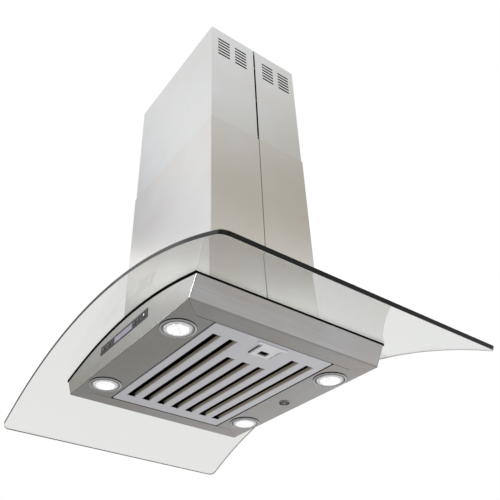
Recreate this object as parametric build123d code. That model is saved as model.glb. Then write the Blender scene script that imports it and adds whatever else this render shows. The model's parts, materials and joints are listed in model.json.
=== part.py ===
from build123d import *
import math
import os

# Island range hood with a bent glass canopy, in millimetres.
# It is modelled with z = 0 at the underside of the body, +X to the right as seen from the controls,
# -Y towards the controls and +Z up. write() then puts the origin in the ceiling plane, on the centre.

# Overall sizes
ceiling_height = 912.0
cover_joint_height = 566.0
glass_length = 900.0
glass_depth = 600.0
glass_thickness = 8.0
glass_radius = 957.0
glass_crown = 81.0
glass_corner = 15.0

# Body of folded sheet
body_length = 481.0
body_top_length = 527.0
body_depth = 447.0
sheet = 1.2
bend = 2.0
seam = 0.4
mitre = 40.5
lip_height = 18.0
lip_bend = 1.0
strip_width = 83.5
weld_gap = 0.1
seal_thickness = 4.5
seal_width = 10.0
seal_inset = 0.5

# Chimney covers
lower_cover_length = 366.0
lower_cover_depth = 278.0
lower_cover_sheet = 0.8
cover_nest = 2.0
upper_cover_sheet = 1.0
cover_bend = 3.0
cover_overlap = 50.0
lower_seam = 1.4
upper_seam = 5.0
seam_lip_gap = 0.3
cover_on_glass = 0.3
tongue_width = 24.0
tongue_end = 6.0
flange_depth = 12.0
vent_length = 37.0
vent_height = 5.6
vent_pitch = 11.8
vent_rows = 6
vent_inner = 45.0
vent_outer = 99.0
vent_drop = 37.0
cover_screw_radius = 2.0
cover_screw_head = 2.5
cover_screw_count = 3

# Telescoping frame
angle_leg = 25.0
angle_sheet = 2.0
frame_lap = 90.0
upright_on_box = 95.0
upper_upright_length = 360.0
foot_size = 38.0
bolt_radius = 3.0
bolt_hole_gap = 0.3
bolt_head_height = 4.0
bolt_head_radius = 5.8
bolt_edge = 12.0
bolt_end_gap = 22.0

# Ceiling bracket
bracket_length = 332.0
bracket_gap = 0.5
bracket_flange = 25.0
bracket_bend = 3.0
bracket_opening_length = 210.0
bracket_opening_depth = 200.0
bracket_opening_y = -10.0
ceiling_hole_radius = 4.0
ceiling_hole_x = 150.0
ceiling_hole_y = 60.0

# Blower box
box_length = 280.0
box_depth = 236.0
box_bottom = 45.0
box_top = 335.0

# Scroll, impeller and motor
scroll_y = 8.0
scroll_z = 185.0
scroll_start = 96.0
scroll_end = 122.0
scroll_tongue = 75.0
spiral_points = 12
scroll_width = 114.0
scroll_sheet = 1.0
throat_top = 290.0
inlet_radius = 71.0
inlet_round = 8.0
impeller_radius = 90.0
impeller_inner = 74.0
impeller_width = 96.0
blade_count = 30
blade_sheet = 0.9
blade_sweep = 9.0
blade_camber = 3.0
ring_width = 1.5
disc_sheet = 1.5
hub_radius = 13.0
hub_length = 24.0
shaft_radius = 4.0
shaft_clearance = 0.05
motor_radius = 42.0
motor_length = 76.0
motor_front = 46.0
motor_boss_radius = 16.0
motor_boss_length = 7.0
motor_round = 6.0
clamp_sheet = 3.0
clamp_width = 20.0
arm_width = 14.0
arm_reach = 96.0

# Outlet collar and damper
collar_radius = 75.0
collar_sheet = 1.0
collar_height = 60.0
collar_flange = 13.0
collar_y = -20.0
stop_width = 4.0
damper_pin_radius = 2.0
damper_pin_height = 8.0
damper_sheet = 0.8
damper_gap = 0.3
damper_rim_gap = 1.2
knuckle_radius = 3.2
knuckle_length = 16.0
knuckle_pitch = 30.0

# Terminal box, gland and capacitor
terminal_length = 90.0
terminal_depth = 46.0
terminal_height = 30.0
terminal_y = 92.0
terminal_round = 4.0
terminal_lid_height = 22.5
gland_radius = 8.0
gland_nut_radius = 10.4
gland_bore_radius = 4.0
gland_round = 2.6
gland_length = 16.0
gland_seat = 6.0
capacitor_radius = 17.0
capacitor_height = 58.0
capacitor_x = -112.0
capacitor_y = 72.0

# Glass fixing
cutout_gap = 6.0
cutout_corner = 12.0
stud_x = 164.0
stud_y = 70.0
stud_radius = 3.0
stud_length = 22.0
glass_hole_radius = 6.0
bush_flange_radius = 10.0
bush_gap = 0.2
nut_height = 6.0
nut_flange_radius = 9.0
nut_flange_height = 1.5

# Lamps and plug
lamp_x = 145.5
lamp_edge = 39.0
lamp_hole_radius = 28.4
lamp_ring_radius = 35.0
lamp_ring_drop = 2.6
lamp_ring_edge = 0.7
lamp_bezel = 2.2
lamp_groove = 1.3
lamp_sleeve = 1.2
lamp_sleeve_height = 12.0
lamp_gap = 0.4
lens_top = 2.0
lens_dome = 3.0
lens_edge = 3.6
lamp_can_height = 22.0
plug_radius = 12.5
plug_drop = 1.5
plug_stem_radius = 10.0
plug_stem_height = 6.0
plug_groove = 1.8
plug_groove_pitch = 3.8
plug_groove_count = 2
driver_length = 110.0
driver_depth = 38.0
driver_height = 20.0

# Controls
fascia_length = 196.0
fascia_height = 20.0
fascia_z = 44.2
fascia_proud = 0.6
fascia_flange = 2.0
fascia_gap = 0.3
window_length = 76.0
window_height = 14.0
window_set_back = 0.5
window_flange = 1.5
key_end_gap = 12.5
second_key_x = -60.0
third_key_x = 48.0
fourth_key_x = 61.5
key_radius = 4.0
key_proud = 1.0
key_round = 0.8
key_flange = 1.2
key_stem_radius = 2.0
key_travel = 1.0
key_spare = 0.2
board_length = 192.0
board_height = 22.0
board_sheet = 1.6
board_stand_off = 8.3
switch_size = 6.0
switch_height = 1.0
boss_radius = 2.5

# Filter and latch
filter_length = 400.0
filter_margin = 9.1
filter_height = 16.0
filter_sheet = 0.8
filter_gap = 1.5
filter_corner = 4.0
filter_bend = 1.5
slot_width = 19.4
slot_length = 332.0
short_slot_length = 272.0
slot_rows = 3
short_rows = 1
flap_rise = 6.0
flap_run = 3.2
flap_end_gap = 2.0
baffle_width = 20.0
baffle_bottom = 6.0
baffle_top = 14.0
bay_wall_x = 116.0
bay_wall_y = 50.0
tab_y = 90.0
tab_width = 24.0
tab_reach = 6.0
tab_height = 6.0
tab_gap = 0.4
tab_swing = 4.4
latch_travel = 6.0
latch_sheet = 1.5
latch_gap = 0.2
latch_left = 144.5
latch_neck = 186.0
latch_right = 192.5
latch_stem_width = 44.0
latch_head_width = 68.0
cup_left = 152.0
cup_length = 14.0
cup_width = 21.0
cup_depth = 4.4
cup_wall = 0.8
cup_gap = 0.4
bolt_nose = 6.5
nose_chamfer = 1.2
tongue_thickness = 2.0
latch_tongue_width = 24.0
rib_width = 1.8
rib_gap = 1.5
spring_sheet = 0.5
spring_width = 3.0
spring_swing = 8.0
spring_folds = 4

# Sizes that follow from the ones above
touch = 0.01
arch_z = glass_crown - glass_radius
deck_radius = glass_radius - seal_thickness
glass_top_radius = glass_radius + glass_thickness
deck_end_z = arch_z + math.sqrt(deck_radius**2 - (body_top_length / 2) ** 2)
end_slope = (body_top_length - body_length) / 2 / deck_end_z
filter_depth = body_depth - 2 * strip_width
bay_x = filter_length / 2 + filter_gap
bay_y = filter_depth / 2 + filter_gap
slot_pitch = (filter_depth - 2 * filter_margin) / (2 * slot_rows + 1)
lamp_y = body_depth / 2 - lamp_edge
front_y = -body_depth / 2
wall_y = front_y + sheet
upper_length = lower_cover_length - 2 * cover_nest
upper_depth = lower_cover_depth - 2 * cover_nest
upper_bottom = cover_joint_height - cover_overlap
cover_top = ceiling_height
bracket_depth = upper_depth - 2 * (upper_cover_sheet + bracket_gap)
lower_upright_bottom = box_top - upright_on_box
upper_upright_top = ceiling_height - angle_sheet
upper_upright_bottom = upper_upright_top - upper_upright_length
lower_upright_top = upper_upright_bottom + frame_lap
bolt_y = box_depth / 2 + angle_sheet - bolt_edge
lap_bolts = (upper_upright_bottom + bolt_end_gap, lower_upright_top - bolt_end_gap)
box_bolts = (lower_upright_bottom + bolt_end_gap, box_top - bolt_end_gap)
foot_bolt_x = box_length / 2 + 2 * angle_sheet - bolt_end_gap
foot_bolt_y = box_depth / 2 + 2 * angle_sheet - bolt_end_gap
bolt_hole = bolt_radius + bolt_hole_gap
lip_slot_low = tab_height - tab_gap
lip_slot_high = tab_height + filter_sheet + tab_swing
tongue_low = cup_depth - latch_gap + cup_wall
fascia_back = wall_y + fascia_flange
key_back = fascia_back + fascia_gap
board_front = fascia_back + board_stand_off
damper_pin_z = box_top + damper_pin_height
bay_end = filter_length / 2 - filter_sheet
end_key_x = fascia_length / 2 - key_end_gap
key_places = (-end_key_x, second_key_x, third_key_x, fourth_key_x, end_key_x)


def write(name, shape):
    """Writes one piece with the origin moved to the ceiling plane."""
    export_step(Pos(0, 0, -ceiling_height) * shape, f"parts/{name}.step")


def group(shapes):
    """Several separate solids kept in one node."""
    return Compound([solid for shape in shapes for solid in shape.solids()])


def block(x0, x1, y0, y1, z0, z1):
    """A box between two corners."""
    centre = Pos((x0 + x1) / 2, (y0 + y1) / 2, (z0 + z1) / 2)
    return centre * Box(abs(x1 - x0), abs(y1 - y0), abs(z1 - z0))


def drum(radius, low, high, x=0.0, y=0.0):
    """An upright cylinder between two heights."""
    return Pos(x, y, (low + high) / 2) * Cylinder(radius, high - low)


def bar_x(radius, x0, x1, y, z):
    """A round bar along X."""
    return Pos((x0 + x1) / 2, y, z) * Rot(0, 90, 0) * Cylinder(radius, x1 - x0)


def bar_y(radius, y0, y1, x, z):
    """A round bar along Y."""
    return Pos(x, (y0 + y1) / 2, z) * Rot(90, 0, 0) * Cylinder(radius, y1 - y0)


def prism_z(face, low, high):
    """A plan outline raised between two heights."""
    return Pos(0, 0, low) * extrude(face, high - low)


def section_yz(face, x0, x1):
    """A cross-section in Y and Z run along X."""
    return Pos(x0, 0, 0) * extrude(Plane.YZ * face, x1 - x0)


def under_arch(radius):
    """Everything below an arch that is concentric with the glass."""
    return Pos(0, 0, arch_z) * Rot(90, 0, 0) * Cylinder(radius, 2 * glass_depth)


def on_arch(shape, x):
    """Turns a piece made at the crown about the arch's axis, to a place x from the middle."""
    angle = math.degrees(math.asin(x / glass_radius))
    return shape.rotate(Axis((0, 0, arch_z), (0, 1, 0)), angle)


def four_corners(shape):
    """A piece of the +X, +Y corner and its three mirror images."""
    pair = [shape, shape.mirror(Plane.YZ)]
    return pair + [piece.mirror(Plane.XZ) for piece in pair]


def hexagon(radius):
    return RegularPolygon(radius, 6)


# Body


def end_x(z, inset):
    """Half length of the body at a height, measured inset from the sheet's outside."""
    return body_length / 2 + end_slope * z - inset * math.sqrt(1 + end_slope**2)


def body_prism(inset, radius):
    """The body's flared block, open upwards, with all its folds rounded."""
    top = glass_crown + seal_thickness
    low, high = end_x(inset, inset), end_x(top, inset)
    outline = make_face(Polyline((-low, inset), (low, inset), (high, top), (-high, top), close=True))
    half = body_depth / 2 - inset
    solid = extrude(Plane.XZ * outline, half, both=True)
    folds = solid.edges().filter_by(lambda edge: edge.center().Z < top - touch)
    return fillet(folds, radius)


def strip_mask(grow):
    """The room of the front panel: its wall and the bottom strip with mitred corners."""
    corner_x = body_length / 2 - bay_x
    reach = 3.0
    outer_x = bay_x + grow + corner_x * reach
    mitre_y = front_y + mitre
    outer_y = mitre_y - mitre * reach
    outline = make_face(
        Polyline(
            (-bay_x - grow, 0),
            (bay_x + grow, 0),
            (bay_x + grow, mitre_y),
            (outer_x, outer_y),
            (-outer_x, outer_y),
            (-bay_x - grow, mitre_y),
            close=True,
        )
    )
    strip = prism_z(outline, -sheet, 2 * sheet)
    wall = block(-body_length, body_length, 2 * front_y, front_y + bend + grow, -sheet, body_depth)
    return strip + wall


def body_shell():
    skin = body_prism(0, bend) - body_prism(sheet, bend - sheet)
    skin = skin & under_arch(deck_radius)
    return skin - block(-bay_x, bay_x, -bay_y, bay_y, -sheet, 2 * sheet)


def lamp_places():
    return [(-lamp_x, -lamp_y), (lamp_x, -lamp_y), (-lamp_x, lamp_y), (lamp_x, lamp_y)]


def long_panel(shell):
    """Front wall and lamp strip, with a stiffening lip along the filter bay."""
    panel = shell & strip_mask(0)
    lip = block(-bay_x, bay_x, -bay_y - sheet, -bay_y, 0, lip_height)
    panel = panel + lip
    fold = panel.edges().filter_by(Axis.X).filter_by(
        lambda edge: abs(edge.center().Y + bay_y) < touch and abs(edge.center().Z) < touch
    )
    panel = fillet(fold, lip_bend)
    for x in (-lamp_x, lamp_x):
        panel -= drum(lamp_hole_radius, -sheet, 2 * sheet, x, -lamp_y)
    return panel


def front_panel(shell):
    half_x, half_z = fascia_length / 2 + fascia_gap, fascia_height / 2 + fascia_gap
    return long_panel(shell) - front_block(half_x, half_z, front_y - sheet, wall_y + sheet)


def rear_panel(shell):
    panel = long_panel(shell).mirror(Plane.XZ)
    return panel - drum(plug_stem_radius + fascia_gap, -sheet, 2 * sheet, 0, lamp_y)


def end_panel(shell):
    """Slanted right end wall and its bottom strip, before the slots in its lip are cut."""
    front_room = strip_mask(seam)
    panel = shell - front_room - front_room.mirror(Plane.XZ)
    panel = panel & block(0, body_length, -body_depth, body_depth, -sheet, body_depth)
    lip = block(bay_x, bay_x + sheet, -bay_y + seam, bay_y - seam, 0, lip_height)
    panel = panel + lip
    fold = panel.edges().filter_by(Axis.Y).filter_by(
        lambda edge: abs(edge.center().X - bay_x) < touch and abs(edge.center().Z) < touch
    )
    return fillet(fold, lip_bend)


def right_end_panel(panel):
    half = latch_tongue_width / 2 + tab_gap
    low, high = tongue_low - tab_gap, tongue_low + tongue_thickness + tab_gap
    return panel - block(bay_x - sheet, bay_x + 2 * sheet, -half, half, low, high)


def left_end_panel(panel):
    half = tab_width / 2 + tab_gap
    for y in (-tab_y, tab_y):
        panel -= block(bay_x - sheet, bay_x + 2 * sheet, y - half, y + half, lip_slot_low, lip_slot_high)
    return panel.mirror(Plane.YZ)


def glass_stud():
    """A weld stud at the crown, before it is turned to its place."""
    return drum(stud_radius, arch_z + deck_radius - sheet / 2, arch_z + deck_radius + stud_length)


def at_studs(shape):
    """Copies of a crown piece at the four glass studs."""
    places = [(x, y) for x in (-stud_x, stud_x) for y in (-stud_y, stud_y)]
    return [Pos(0, y, 0) * on_arch(shape, x) for x, y in places]


def top_deck():
    plate = under_arch(deck_radius) - under_arch(deck_radius - sheet)
    plate = plate & body_prism(sheet + weld_gap, bend - sheet)
    opening = RectangleRounded(box_length, box_depth, bend)
    plate -= prism_z(opening, 0, glass_crown + sheet)
    for stud in at_studs(glass_stud()):
        plate += stud
    return plate


def glass_seal():
    ring = under_arch(glass_radius) - under_arch(deck_radius)
    half_x = body_top_length / 2 - seal_inset
    half_y = body_depth / 2 - seal_inset
    outer = Rectangle(2 * half_x, 2 * half_y)
    inner = Rectangle(2 * (half_x - seal_width), 2 * (half_y - seal_width))
    return ring & prism_z(outer - inner, 0, glass_crown + sheet)


def glass_canopy():
    half_angle = math.asin(glass_length / 2 / glass_top_radius)
    sine, cosine = math.sin(half_angle), math.cos(half_angle)
    corners = [(radius * sine, arch_z + radius * cosine) for radius in (glass_radius, glass_top_radius)]
    (x0, z0), (x1, z1) = corners
    outline = make_face(
        [
            ThreePointArc((-x0, z0), (0, arch_z + glass_radius), (x0, z0)),
            Line((x0, z0), (x1, z1)),
            ThreePointArc((x1, z1), (0, arch_z + glass_top_radius), (-x1, z1)),
            Line((-x1, z1), (-x0, z0)),
        ]
    )
    pane = extrude(Plane.XZ * outline, glass_depth / 2, both=True)
    ends = pane.edges().filter_by(lambda edge: edge.length < 1.5 * glass_thickness)
    pane = fillet(ends, glass_corner)
    opening = RectangleRounded(box_length + 2 * cutout_gap, box_depth + 2 * cutout_gap, cutout_corner)
    pane -= prism_z(opening, 0, ceiling_height)
    hole = drum(glass_hole_radius, arch_z + deck_radius, arch_z + glass_top_radius + stud_length)
    for cut in at_studs(hole):
        pane -= cut
    return pane


def stud_bush():
    """Rubber bush: a flange under the glass and a sleeve in its hole."""
    low = arch_z + deck_radius
    mid, high = (arch_z + radius - bush_gap for radius in (glass_radius, glass_top_radius))
    bush = drum(bush_flange_radius, low, mid) + drum(glass_hole_radius - bush_gap, mid, high)
    return bush - drum(stud_radius + shaft_clearance, low, high)


def stud_nut():
    low = arch_z + glass_top_radius
    nut = drum(nut_flange_radius, low, low + nut_flange_height)
    nut += prism_z(hexagon(bolt_head_radius), low, low + nut_height)
    return nut - drum(stud_radius + shaft_clearance, low, low + nut_height)


# Chimney covers


def cover_ring(length, depth, wall, outside_bend):
    inside = RectangleRounded(length - 2 * wall, depth - 2 * wall, outside_bend - wall)
    return RectangleRounded(length, depth, outside_bend) - inside


def front_half(gap):
    """Everything in front of a seam of the given width."""
    size = 2 * lower_cover_length
    return block(-size, size, -size, -gap / 2, -size, 2 * ceiling_height)


def lower_covers():
    ring = cover_ring(lower_cover_length, lower_cover_depth, lower_cover_sheet, cover_bend)
    tube = prism_z(ring, 0, cover_joint_height) - under_arch(glass_top_radius + cover_on_glass)
    front = tube & front_half(lower_seam)
    back = front.mirror(Plane.XZ)
    inside = lower_cover_length / 2 - lower_cover_sheet
    low = glass_crown + glass_thickness + tongue_end
    for side in (-1, 1):
        back += block(
            side * (inside - lower_cover_sheet),
            side * inside,
            -tongue_width / 2,
            tongue_width / 2,
            low,
            cover_joint_height - tongue_end,
        )
    return front, back


def cover_screw_heights():
    span = cover_top - upper_bottom
    return [upper_bottom + span * (step + 0.5) / cover_screw_count for step in range(cover_screw_count)]


def upper_front():
    ring = cover_ring(upper_length, upper_depth, upper_cover_sheet, cover_bend - lower_cover_sheet)
    half = prism_z(ring, upper_bottom, cover_top) & front_half(upper_seam)
    inside = upper_length / 2 - upper_cover_sheet
    edge = upper_seam / 2
    for side in (-1, 1):
        flange = block(
            side * (inside - flange_depth),
            side * inside,
            -edge - upper_cover_sheet,
            -edge,
            upper_bottom,
            cover_top,
        )
        for height in cover_screw_heights():
            x = side * (inside - flange_depth / 2)
            hole_radius = cover_screw_radius + bush_gap
            flange -= bar_y(hole_radius, -edge - 2 * upper_cover_sheet, 0, x, height)
        half += flange
    vents = []
    for row in range(vent_rows):
        z = cover_top - vent_drop - row * vent_pitch
        for y in (-vent_outer, -vent_inner):
            vents.append(Pos(0, y, z) * Box(2 * upper_length, vent_length, vent_height))
    return half - vents


def upper_back(front):
    """The front half mirrored, with a lip on its flanges that closes the open seam from inside."""
    half = front.mirror(Plane.XZ)
    inner = upper_length / 2 - upper_cover_sheet - flange_depth
    edge = upper_seam / 2
    for side in (-1, 1):
        half += block(
            side * inner,
            side * (inner + upper_cover_sheet),
            seam_lip_gap - edge,
            edge + upper_cover_sheet,
            upper_bottom,
            cover_top,
        )
    return half


def upper_cover_screws():
    """Joining screws with spacers, which keep the upper seam open."""
    inside = upper_length / 2 - upper_cover_sheet
    spacer = upper_seam / 2
    seat = spacer + upper_cover_sheet
    screws = []
    for side in (-1, 1):
        for z in cover_screw_heights():
            x = side * (inside - flange_depth / 2)
            screw = bar_y(2 * cover_screw_radius, -spacer, spacer, x, z)
            screw += bar_y(cover_screw_radius, -seat, seat, x, z)
            for end in (-1, 1):
                low, high = sorted((end * seat, end * (seat + cover_screw_head)))
                screw += bar_y(2 * cover_screw_radius, low, high, x, z)
            screws.append(screw)
    return screws


# Telescoping frame


def ceiling_bracket():
    low = ceiling_height - bracket_flange

    def channel(inset):
        half, top = bracket_depth / 2 - inset, ceiling_height - inset
        outline = make_face(Polyline((-half, low), (half, low), (half, top), (-half, top), close=True))
        return fillet(outline.vertices().filter_by(lambda v: v.Y > low + touch), bracket_bend - inset)

    section = channel(0) - channel(angle_sheet)
    plate = section_yz(section, -bracket_length / 2, bracket_length / 2)
    opening = RectangleRounded(bracket_opening_length, bracket_opening_depth, cutout_corner)
    plate -= prism_z(Pos(0, bracket_opening_y) * opening, low, ceiling_height + angle_sheet)
    low_cut, high_cut = ceiling_height - 2 * angle_sheet, ceiling_height + angle_sheet
    for hole in four_corners(drum(ceiling_hole_radius, low_cut, high_cut, ceiling_hole_x, ceiling_hole_y)):
        plate -= hole
    for hole in four_corners(drum(bolt_hole, low_cut, high_cut, foot_bolt_x, foot_bolt_y)):
        plate -= hole
    return plate


def angle_bar(nest, low, high):
    """A corner angle that wraps the blower box's corner, nest sheets out from it."""
    x = box_length / 2 + nest * angle_sheet
    y = box_depth / 2 + nest * angle_sheet
    bar = block(x - angle_leg, x, y - angle_sheet, y, low, high)
    return bar + block(x - angle_sheet, x, y - angle_leg, y, low, high)


def upper_upright():
    bar = angle_bar(2, upper_upright_bottom, upper_upright_top)
    x = box_length / 2 + 2 * angle_sheet
    y = box_depth / 2 + 2 * angle_sheet
    foot = block(x - foot_size, x, y - foot_size, y, upper_upright_top - angle_sheet, upper_upright_top)
    bar += foot
    bar -= drum(bolt_hole, upper_upright_top - 2 * angle_sheet, ceiling_height, foot_bolt_x, foot_bolt_y)
    low, high = lap_bolts[0] - bolt_radius, lap_bolts[1] + bolt_radius
    slot = SlotOverall(high - low + 2 * bolt_hole, 2 * bolt_hole, rotation=90)
    return bar - Pos(0, bolt_y, (low + high) / 2) * extrude(Plane.YZ * slot, box_length)


def lower_upright():
    bar = angle_bar(1, lower_upright_bottom, lower_upright_top)
    for z in lap_bolts + box_bolts:
        bar -= bar_x(bolt_hole, 0, box_length, bolt_y, z)
    return bar


def frame_bolt(face_x, inner_x, z):
    """A hexagon bolt along X: head outside face_x, nut inside inner_x."""
    head = Plane.YZ * Pos(bolt_y, z) * hexagon(bolt_head_radius)
    bolt = Pos(face_x, 0, 0) * extrude(head, bolt_head_height)
    bolt += Pos(inner_x - bolt_head_height, 0, 0) * extrude(head, bolt_head_height)
    return bolt + bar_x(bolt_radius, inner_x - bolt_head_height, face_x, bolt_y, z)


def frame_bolts():
    side = box_length / 2
    bolts = []
    for z in lap_bolts:
        bolts += four_corners(frame_bolt(side + 2 * angle_sheet, side, z))
    for z in box_bolts:
        bolts += four_corners(frame_bolt(side + angle_sheet, side - sheet, z))
    low = upper_upright_top - angle_sheet
    foot_bolt = prism_z(hexagon(bolt_head_radius), low - bolt_head_height, low)
    foot_bolt += drum(bolt_radius, low - bolt_head_height, ceiling_height - bolt_hole_gap)
    return bolts + four_corners(Pos(foot_bolt_x, foot_bolt_y, 0) * foot_bolt)


# Blower


def blower_box():
    walls = cover_ring(box_length, box_depth, sheet, bend)
    case = prism_z(walls, box_bottom, box_top)
    outlet = Pos(0, collar_y) * Circle(collar_radius - collar_sheet)
    case += prism_z(RectangleRounded(box_length, box_depth, bend) - outlet, box_top - sheet, box_top)
    for z in box_bolts:
        for hole in four_corners(bar_x(bolt_hole, 0, box_length, bolt_y, z)):
            case -= hole
    return case


def scroll_point(turn, grow):
    """A point of the spiral, turn degrees on from the tongue, as Y and Z."""
    sweep = scroll_tongue + 180.0
    radius = scroll_start + (scroll_end - scroll_start) * turn / sweep + grow
    angle = math.radians(scroll_tongue - turn)
    return scroll_y + radius * math.cos(angle), scroll_z + radius * math.sin(angle)


def spiral(grow):
    sweep = scroll_tongue + 180.0
    return Spline(*[scroll_point(sweep * step / spiral_points, grow) for step in range(spiral_points + 1)])


def throat_walls():
    """Y of the throat's outer wall and of its tongue wall, both on the outside of the sheet."""
    return scroll_y - scroll_end - scroll_sheet, scroll_point(0, scroll_sheet)[0]


def scroll_wrap():
    inner, outer = spiral(0), spiral(scroll_sheet)
    band = make_face([inner, Line(inner @ 1, outer @ 1), outer, Line(outer @ 0, inner @ 0)])
    front_wall, tongue_wall = throat_walls()
    rise = throat_top - scroll_z
    band += Pos(front_wall + scroll_sheet / 2, scroll_z + rise / 2) * Rectangle(scroll_sheet, rise)
    tongue_z = scroll_point(0, 0)[1]
    drop = throat_top - tongue_z
    band += Pos(tongue_wall - scroll_sheet / 2, tongue_z + drop / 2) * Rectangle(scroll_sheet, drop)
    return section_yz(band, -scroll_width / 2, scroll_width / 2)


def scroll_side():
    """Side plate of the scroll with a rounded inlet mouth, on the +X side."""
    outer = spiral(scroll_sheet)
    front_wall, tongue_wall = throat_walls()
    outline = make_face(
        [
            outer,
            Line(outer @ 1, (front_wall, throat_top)),
            Line((front_wall, throat_top), (tongue_wall, throat_top)),
            Line((tongue_wall, throat_top), outer @ 0),
        ]
    )
    hole_radius = inlet_radius + inlet_round
    outline -= Pos(scroll_y, scroll_z) * Circle(hole_radius)
    x = scroll_width / 2
    plate = section_yz(outline, x, x + scroll_sheet)
    turn = x + scroll_sheet - inlet_round
    inner_round = inlet_round - scroll_sheet
    mouth = make_face(
        [
            CenterArc((turn, hole_radius), inlet_round, -90, 90),
            Line((turn + inlet_round, hole_radius), (turn + inner_round, hole_radius)),
            CenterArc((turn, hole_radius), inner_round, -90, 90),
            Line((turn, hole_radius - inner_round), (turn, hole_radius - inlet_round)),
        ]
    )
    lip = revolve(Plane.XZ * mouth, Axis.X)
    return plate + Pos(0, scroll_y, scroll_z) * lip


def transition_solid(inset):
    """Filled form of the outlet transition, inset from the outside of its sheet."""
    front_wall, tongue_wall = throat_walls()
    depth = tongue_wall - front_wall - 2 * inset
    middle = (front_wall + tongue_wall) / 2
    width = scroll_width + 2 * scroll_sheet - 2 * inset
    foot = Pos(0, middle, throat_top) * RectangleRounded(width, depth, 2 * inlet_round - inset)
    top = Pos(0, collar_y, box_top - sheet) * Circle(collar_radius - inset)
    return loft([foot, top])


def outlet_transition():
    return transition_solid(0) - transition_solid(scroll_sheet)


def on_shaft(shape):
    """Moves a piece made about the X axis to the impeller's axis."""
    return Pos(0, scroll_y, scroll_z) * shape


def impeller_disc():
    """Hub and middle disc, which carries the blades of both sides."""
    disc = section_yz(Circle(impeller_radius), -disc_sheet / 2, disc_sheet / 2)
    disc += section_yz(Circle(hub_radius), -hub_length / 2, hub_length / 2)
    return on_shaft(disc - section_yz(Circle(shaft_radius), -hub_length, hub_length))


def impeller_blades():
    """Two rows of forward-curved blades, between the disc and the end rings."""
    outer = impeller_radius - blade_sheet
    middle = (impeller_inner + outer) / 2

    def polar(radius, degrees):
        return radius * math.cos(math.radians(degrees)), radius * math.sin(math.radians(degrees))

    arc = ThreePointArc(polar(impeller_inner, 0), polar(middle, blade_camber), polar(outer, blade_sweep))
    blade = section_yz(trace(arc, blade_sheet), disc_sheet / 2, impeller_width / 2 - ring_width)
    blades = [Rot(360.0 * step / blade_count, 0, 0) * blade for step in range(blade_count)]
    blades += [blade.mirror(Plane.YZ) for blade in blades]
    return [on_shaft(blade) for blade in blades]


def impeller_ring():
    """End ring of the blades on the +X side."""
    rim = Circle(impeller_radius) - Circle(impeller_inner + 2 * blade_sheet)
    return on_shaft(section_yz(rim, impeller_width / 2 - ring_width, impeller_width / 2))


def motor_shaft():
    rear = -motor_front - motor_length / 2
    return bar_x(shaft_radius, rear, hub_length / 2, scroll_y, scroll_z)


def motor():
    """Closed motor can behind the left inlet, with a bearing boss towards the impeller."""
    rear = -motor_front - motor_length
    can = Plane.YZ * Circle(motor_radius)
    body = Pos(rear, 0, 0) * extrude(can, motor_length)
    body = fillet(body.edges().filter_by(GeomType.CIRCLE), motor_round)
    body += Pos(-motor_front - motor_round, 0, 0) * extrude(
        Plane.YZ * Circle(motor_boss_radius), motor_boss_length + motor_round
    )
    bore = Plane.YZ * Circle(shaft_radius + shaft_clearance)
    body -= Pos(-motor_front - motor_length / 2, 0, 0) * extrude(bore, motor_length)
    return Pos(0, scroll_y, scroll_z) * body


def motor_bracket():
    """Clamp ring on the motor and four arms that lie on the left side plate."""
    plate = -scroll_width / 2 - scroll_sheet
    ring = Circle(motor_radius + clamp_sheet) - Circle(motor_radius)
    clamp = section_yz(ring, plate - clamp_width, plate)
    inner = motor_radius + clamp_sheet / 2
    arm = block(plate - clamp_sheet, plate, inner, arm_reach, -arm_width / 2, arm_width / 2)
    for step in range(4):
        clamp += Rot(45.0 + 90.0 * step, 0, 0) * arm
    return Pos(0, scroll_y, scroll_z) * clamp


def motor_capacitor():
    can = drum(capacitor_radius, box_top, box_top + capacitor_height, capacitor_x, capacitor_y)
    can = fillet(can.edges().group_by(Axis.Z)[-1], 2 * bend)
    for side in (-1, 1):
        x = capacitor_x + side * capacitor_radius / 3
        can += block(
            x - sheet / 2,
            x + sheet / 2,
            capacitor_y - bolt_radius,
            capacitor_y + bolt_radius,
            box_top + capacitor_height - bend,
            box_top + capacitor_height + 2 * bolt_radius,
        )
    return can


def terminal_box():
    outline = Pos(0, terminal_y) * RectangleRounded(terminal_length, terminal_depth, terminal_round)
    case = prism_z(outline, box_top, box_top + terminal_height)
    case = fillet(case.edges().group_by(Axis.Z)[-1], terminal_round / 2)
    lid_line = Pos(0, terminal_y) * (
        RectangleRounded(terminal_length, terminal_depth, terminal_round)
        - RectangleRounded(terminal_length - 2 * sheet, terminal_depth - 2 * sheet, terminal_round - sheet)
    )
    lid_z = box_top + terminal_lid_height
    case -= prism_z(lid_line, lid_z, lid_z + sheet)
    face, gland_z = terminal_length / 2, box_top + terminal_height / 2
    return case - bar_x(gland_radius + bush_gap, face - gland_seat, face, terminal_y, gland_z)


def cable_gland():
    """Gland with a hexagon nut and a rounded dome, bored for the mains lead."""
    face = terminal_length / 2
    z = box_top + terminal_height / 2
    body = bar_x(gland_radius, face - gland_seat, face + gland_length, terminal_y, z)
    body = fillet(body.edges().filter_by(GeomType.CIRCLE).group_by(Axis.X)[-1], gland_round)
    nut = Plane.YZ * Pos(terminal_y, z) * hexagon(gland_nut_radius)
    body += Pos(face, 0, 0) * extrude(nut, gland_seat)
    return body - bar_x(gland_bore_radius, face - gland_seat, face + gland_length, terminal_y, z)


# Outlet collar and damper


def outlet_collar():
    inner = collar_radius - collar_sheet
    pipe = prism_z(Circle(collar_radius) - Circle(inner), box_top, box_top + collar_height)
    pipe += prism_z(Circle(collar_radius + collar_flange) - Circle(inner), box_top, box_top + collar_sheet)
    stop_top = damper_pin_z - knuckle_radius - damper_gap
    stop = Circle(inner + collar_sheet / 2) - Circle(inner - stop_width)
    pipe += prism_z(stop, stop_top - collar_sheet, stop_top)
    return Pos(0, collar_y, 0) * pipe


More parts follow.
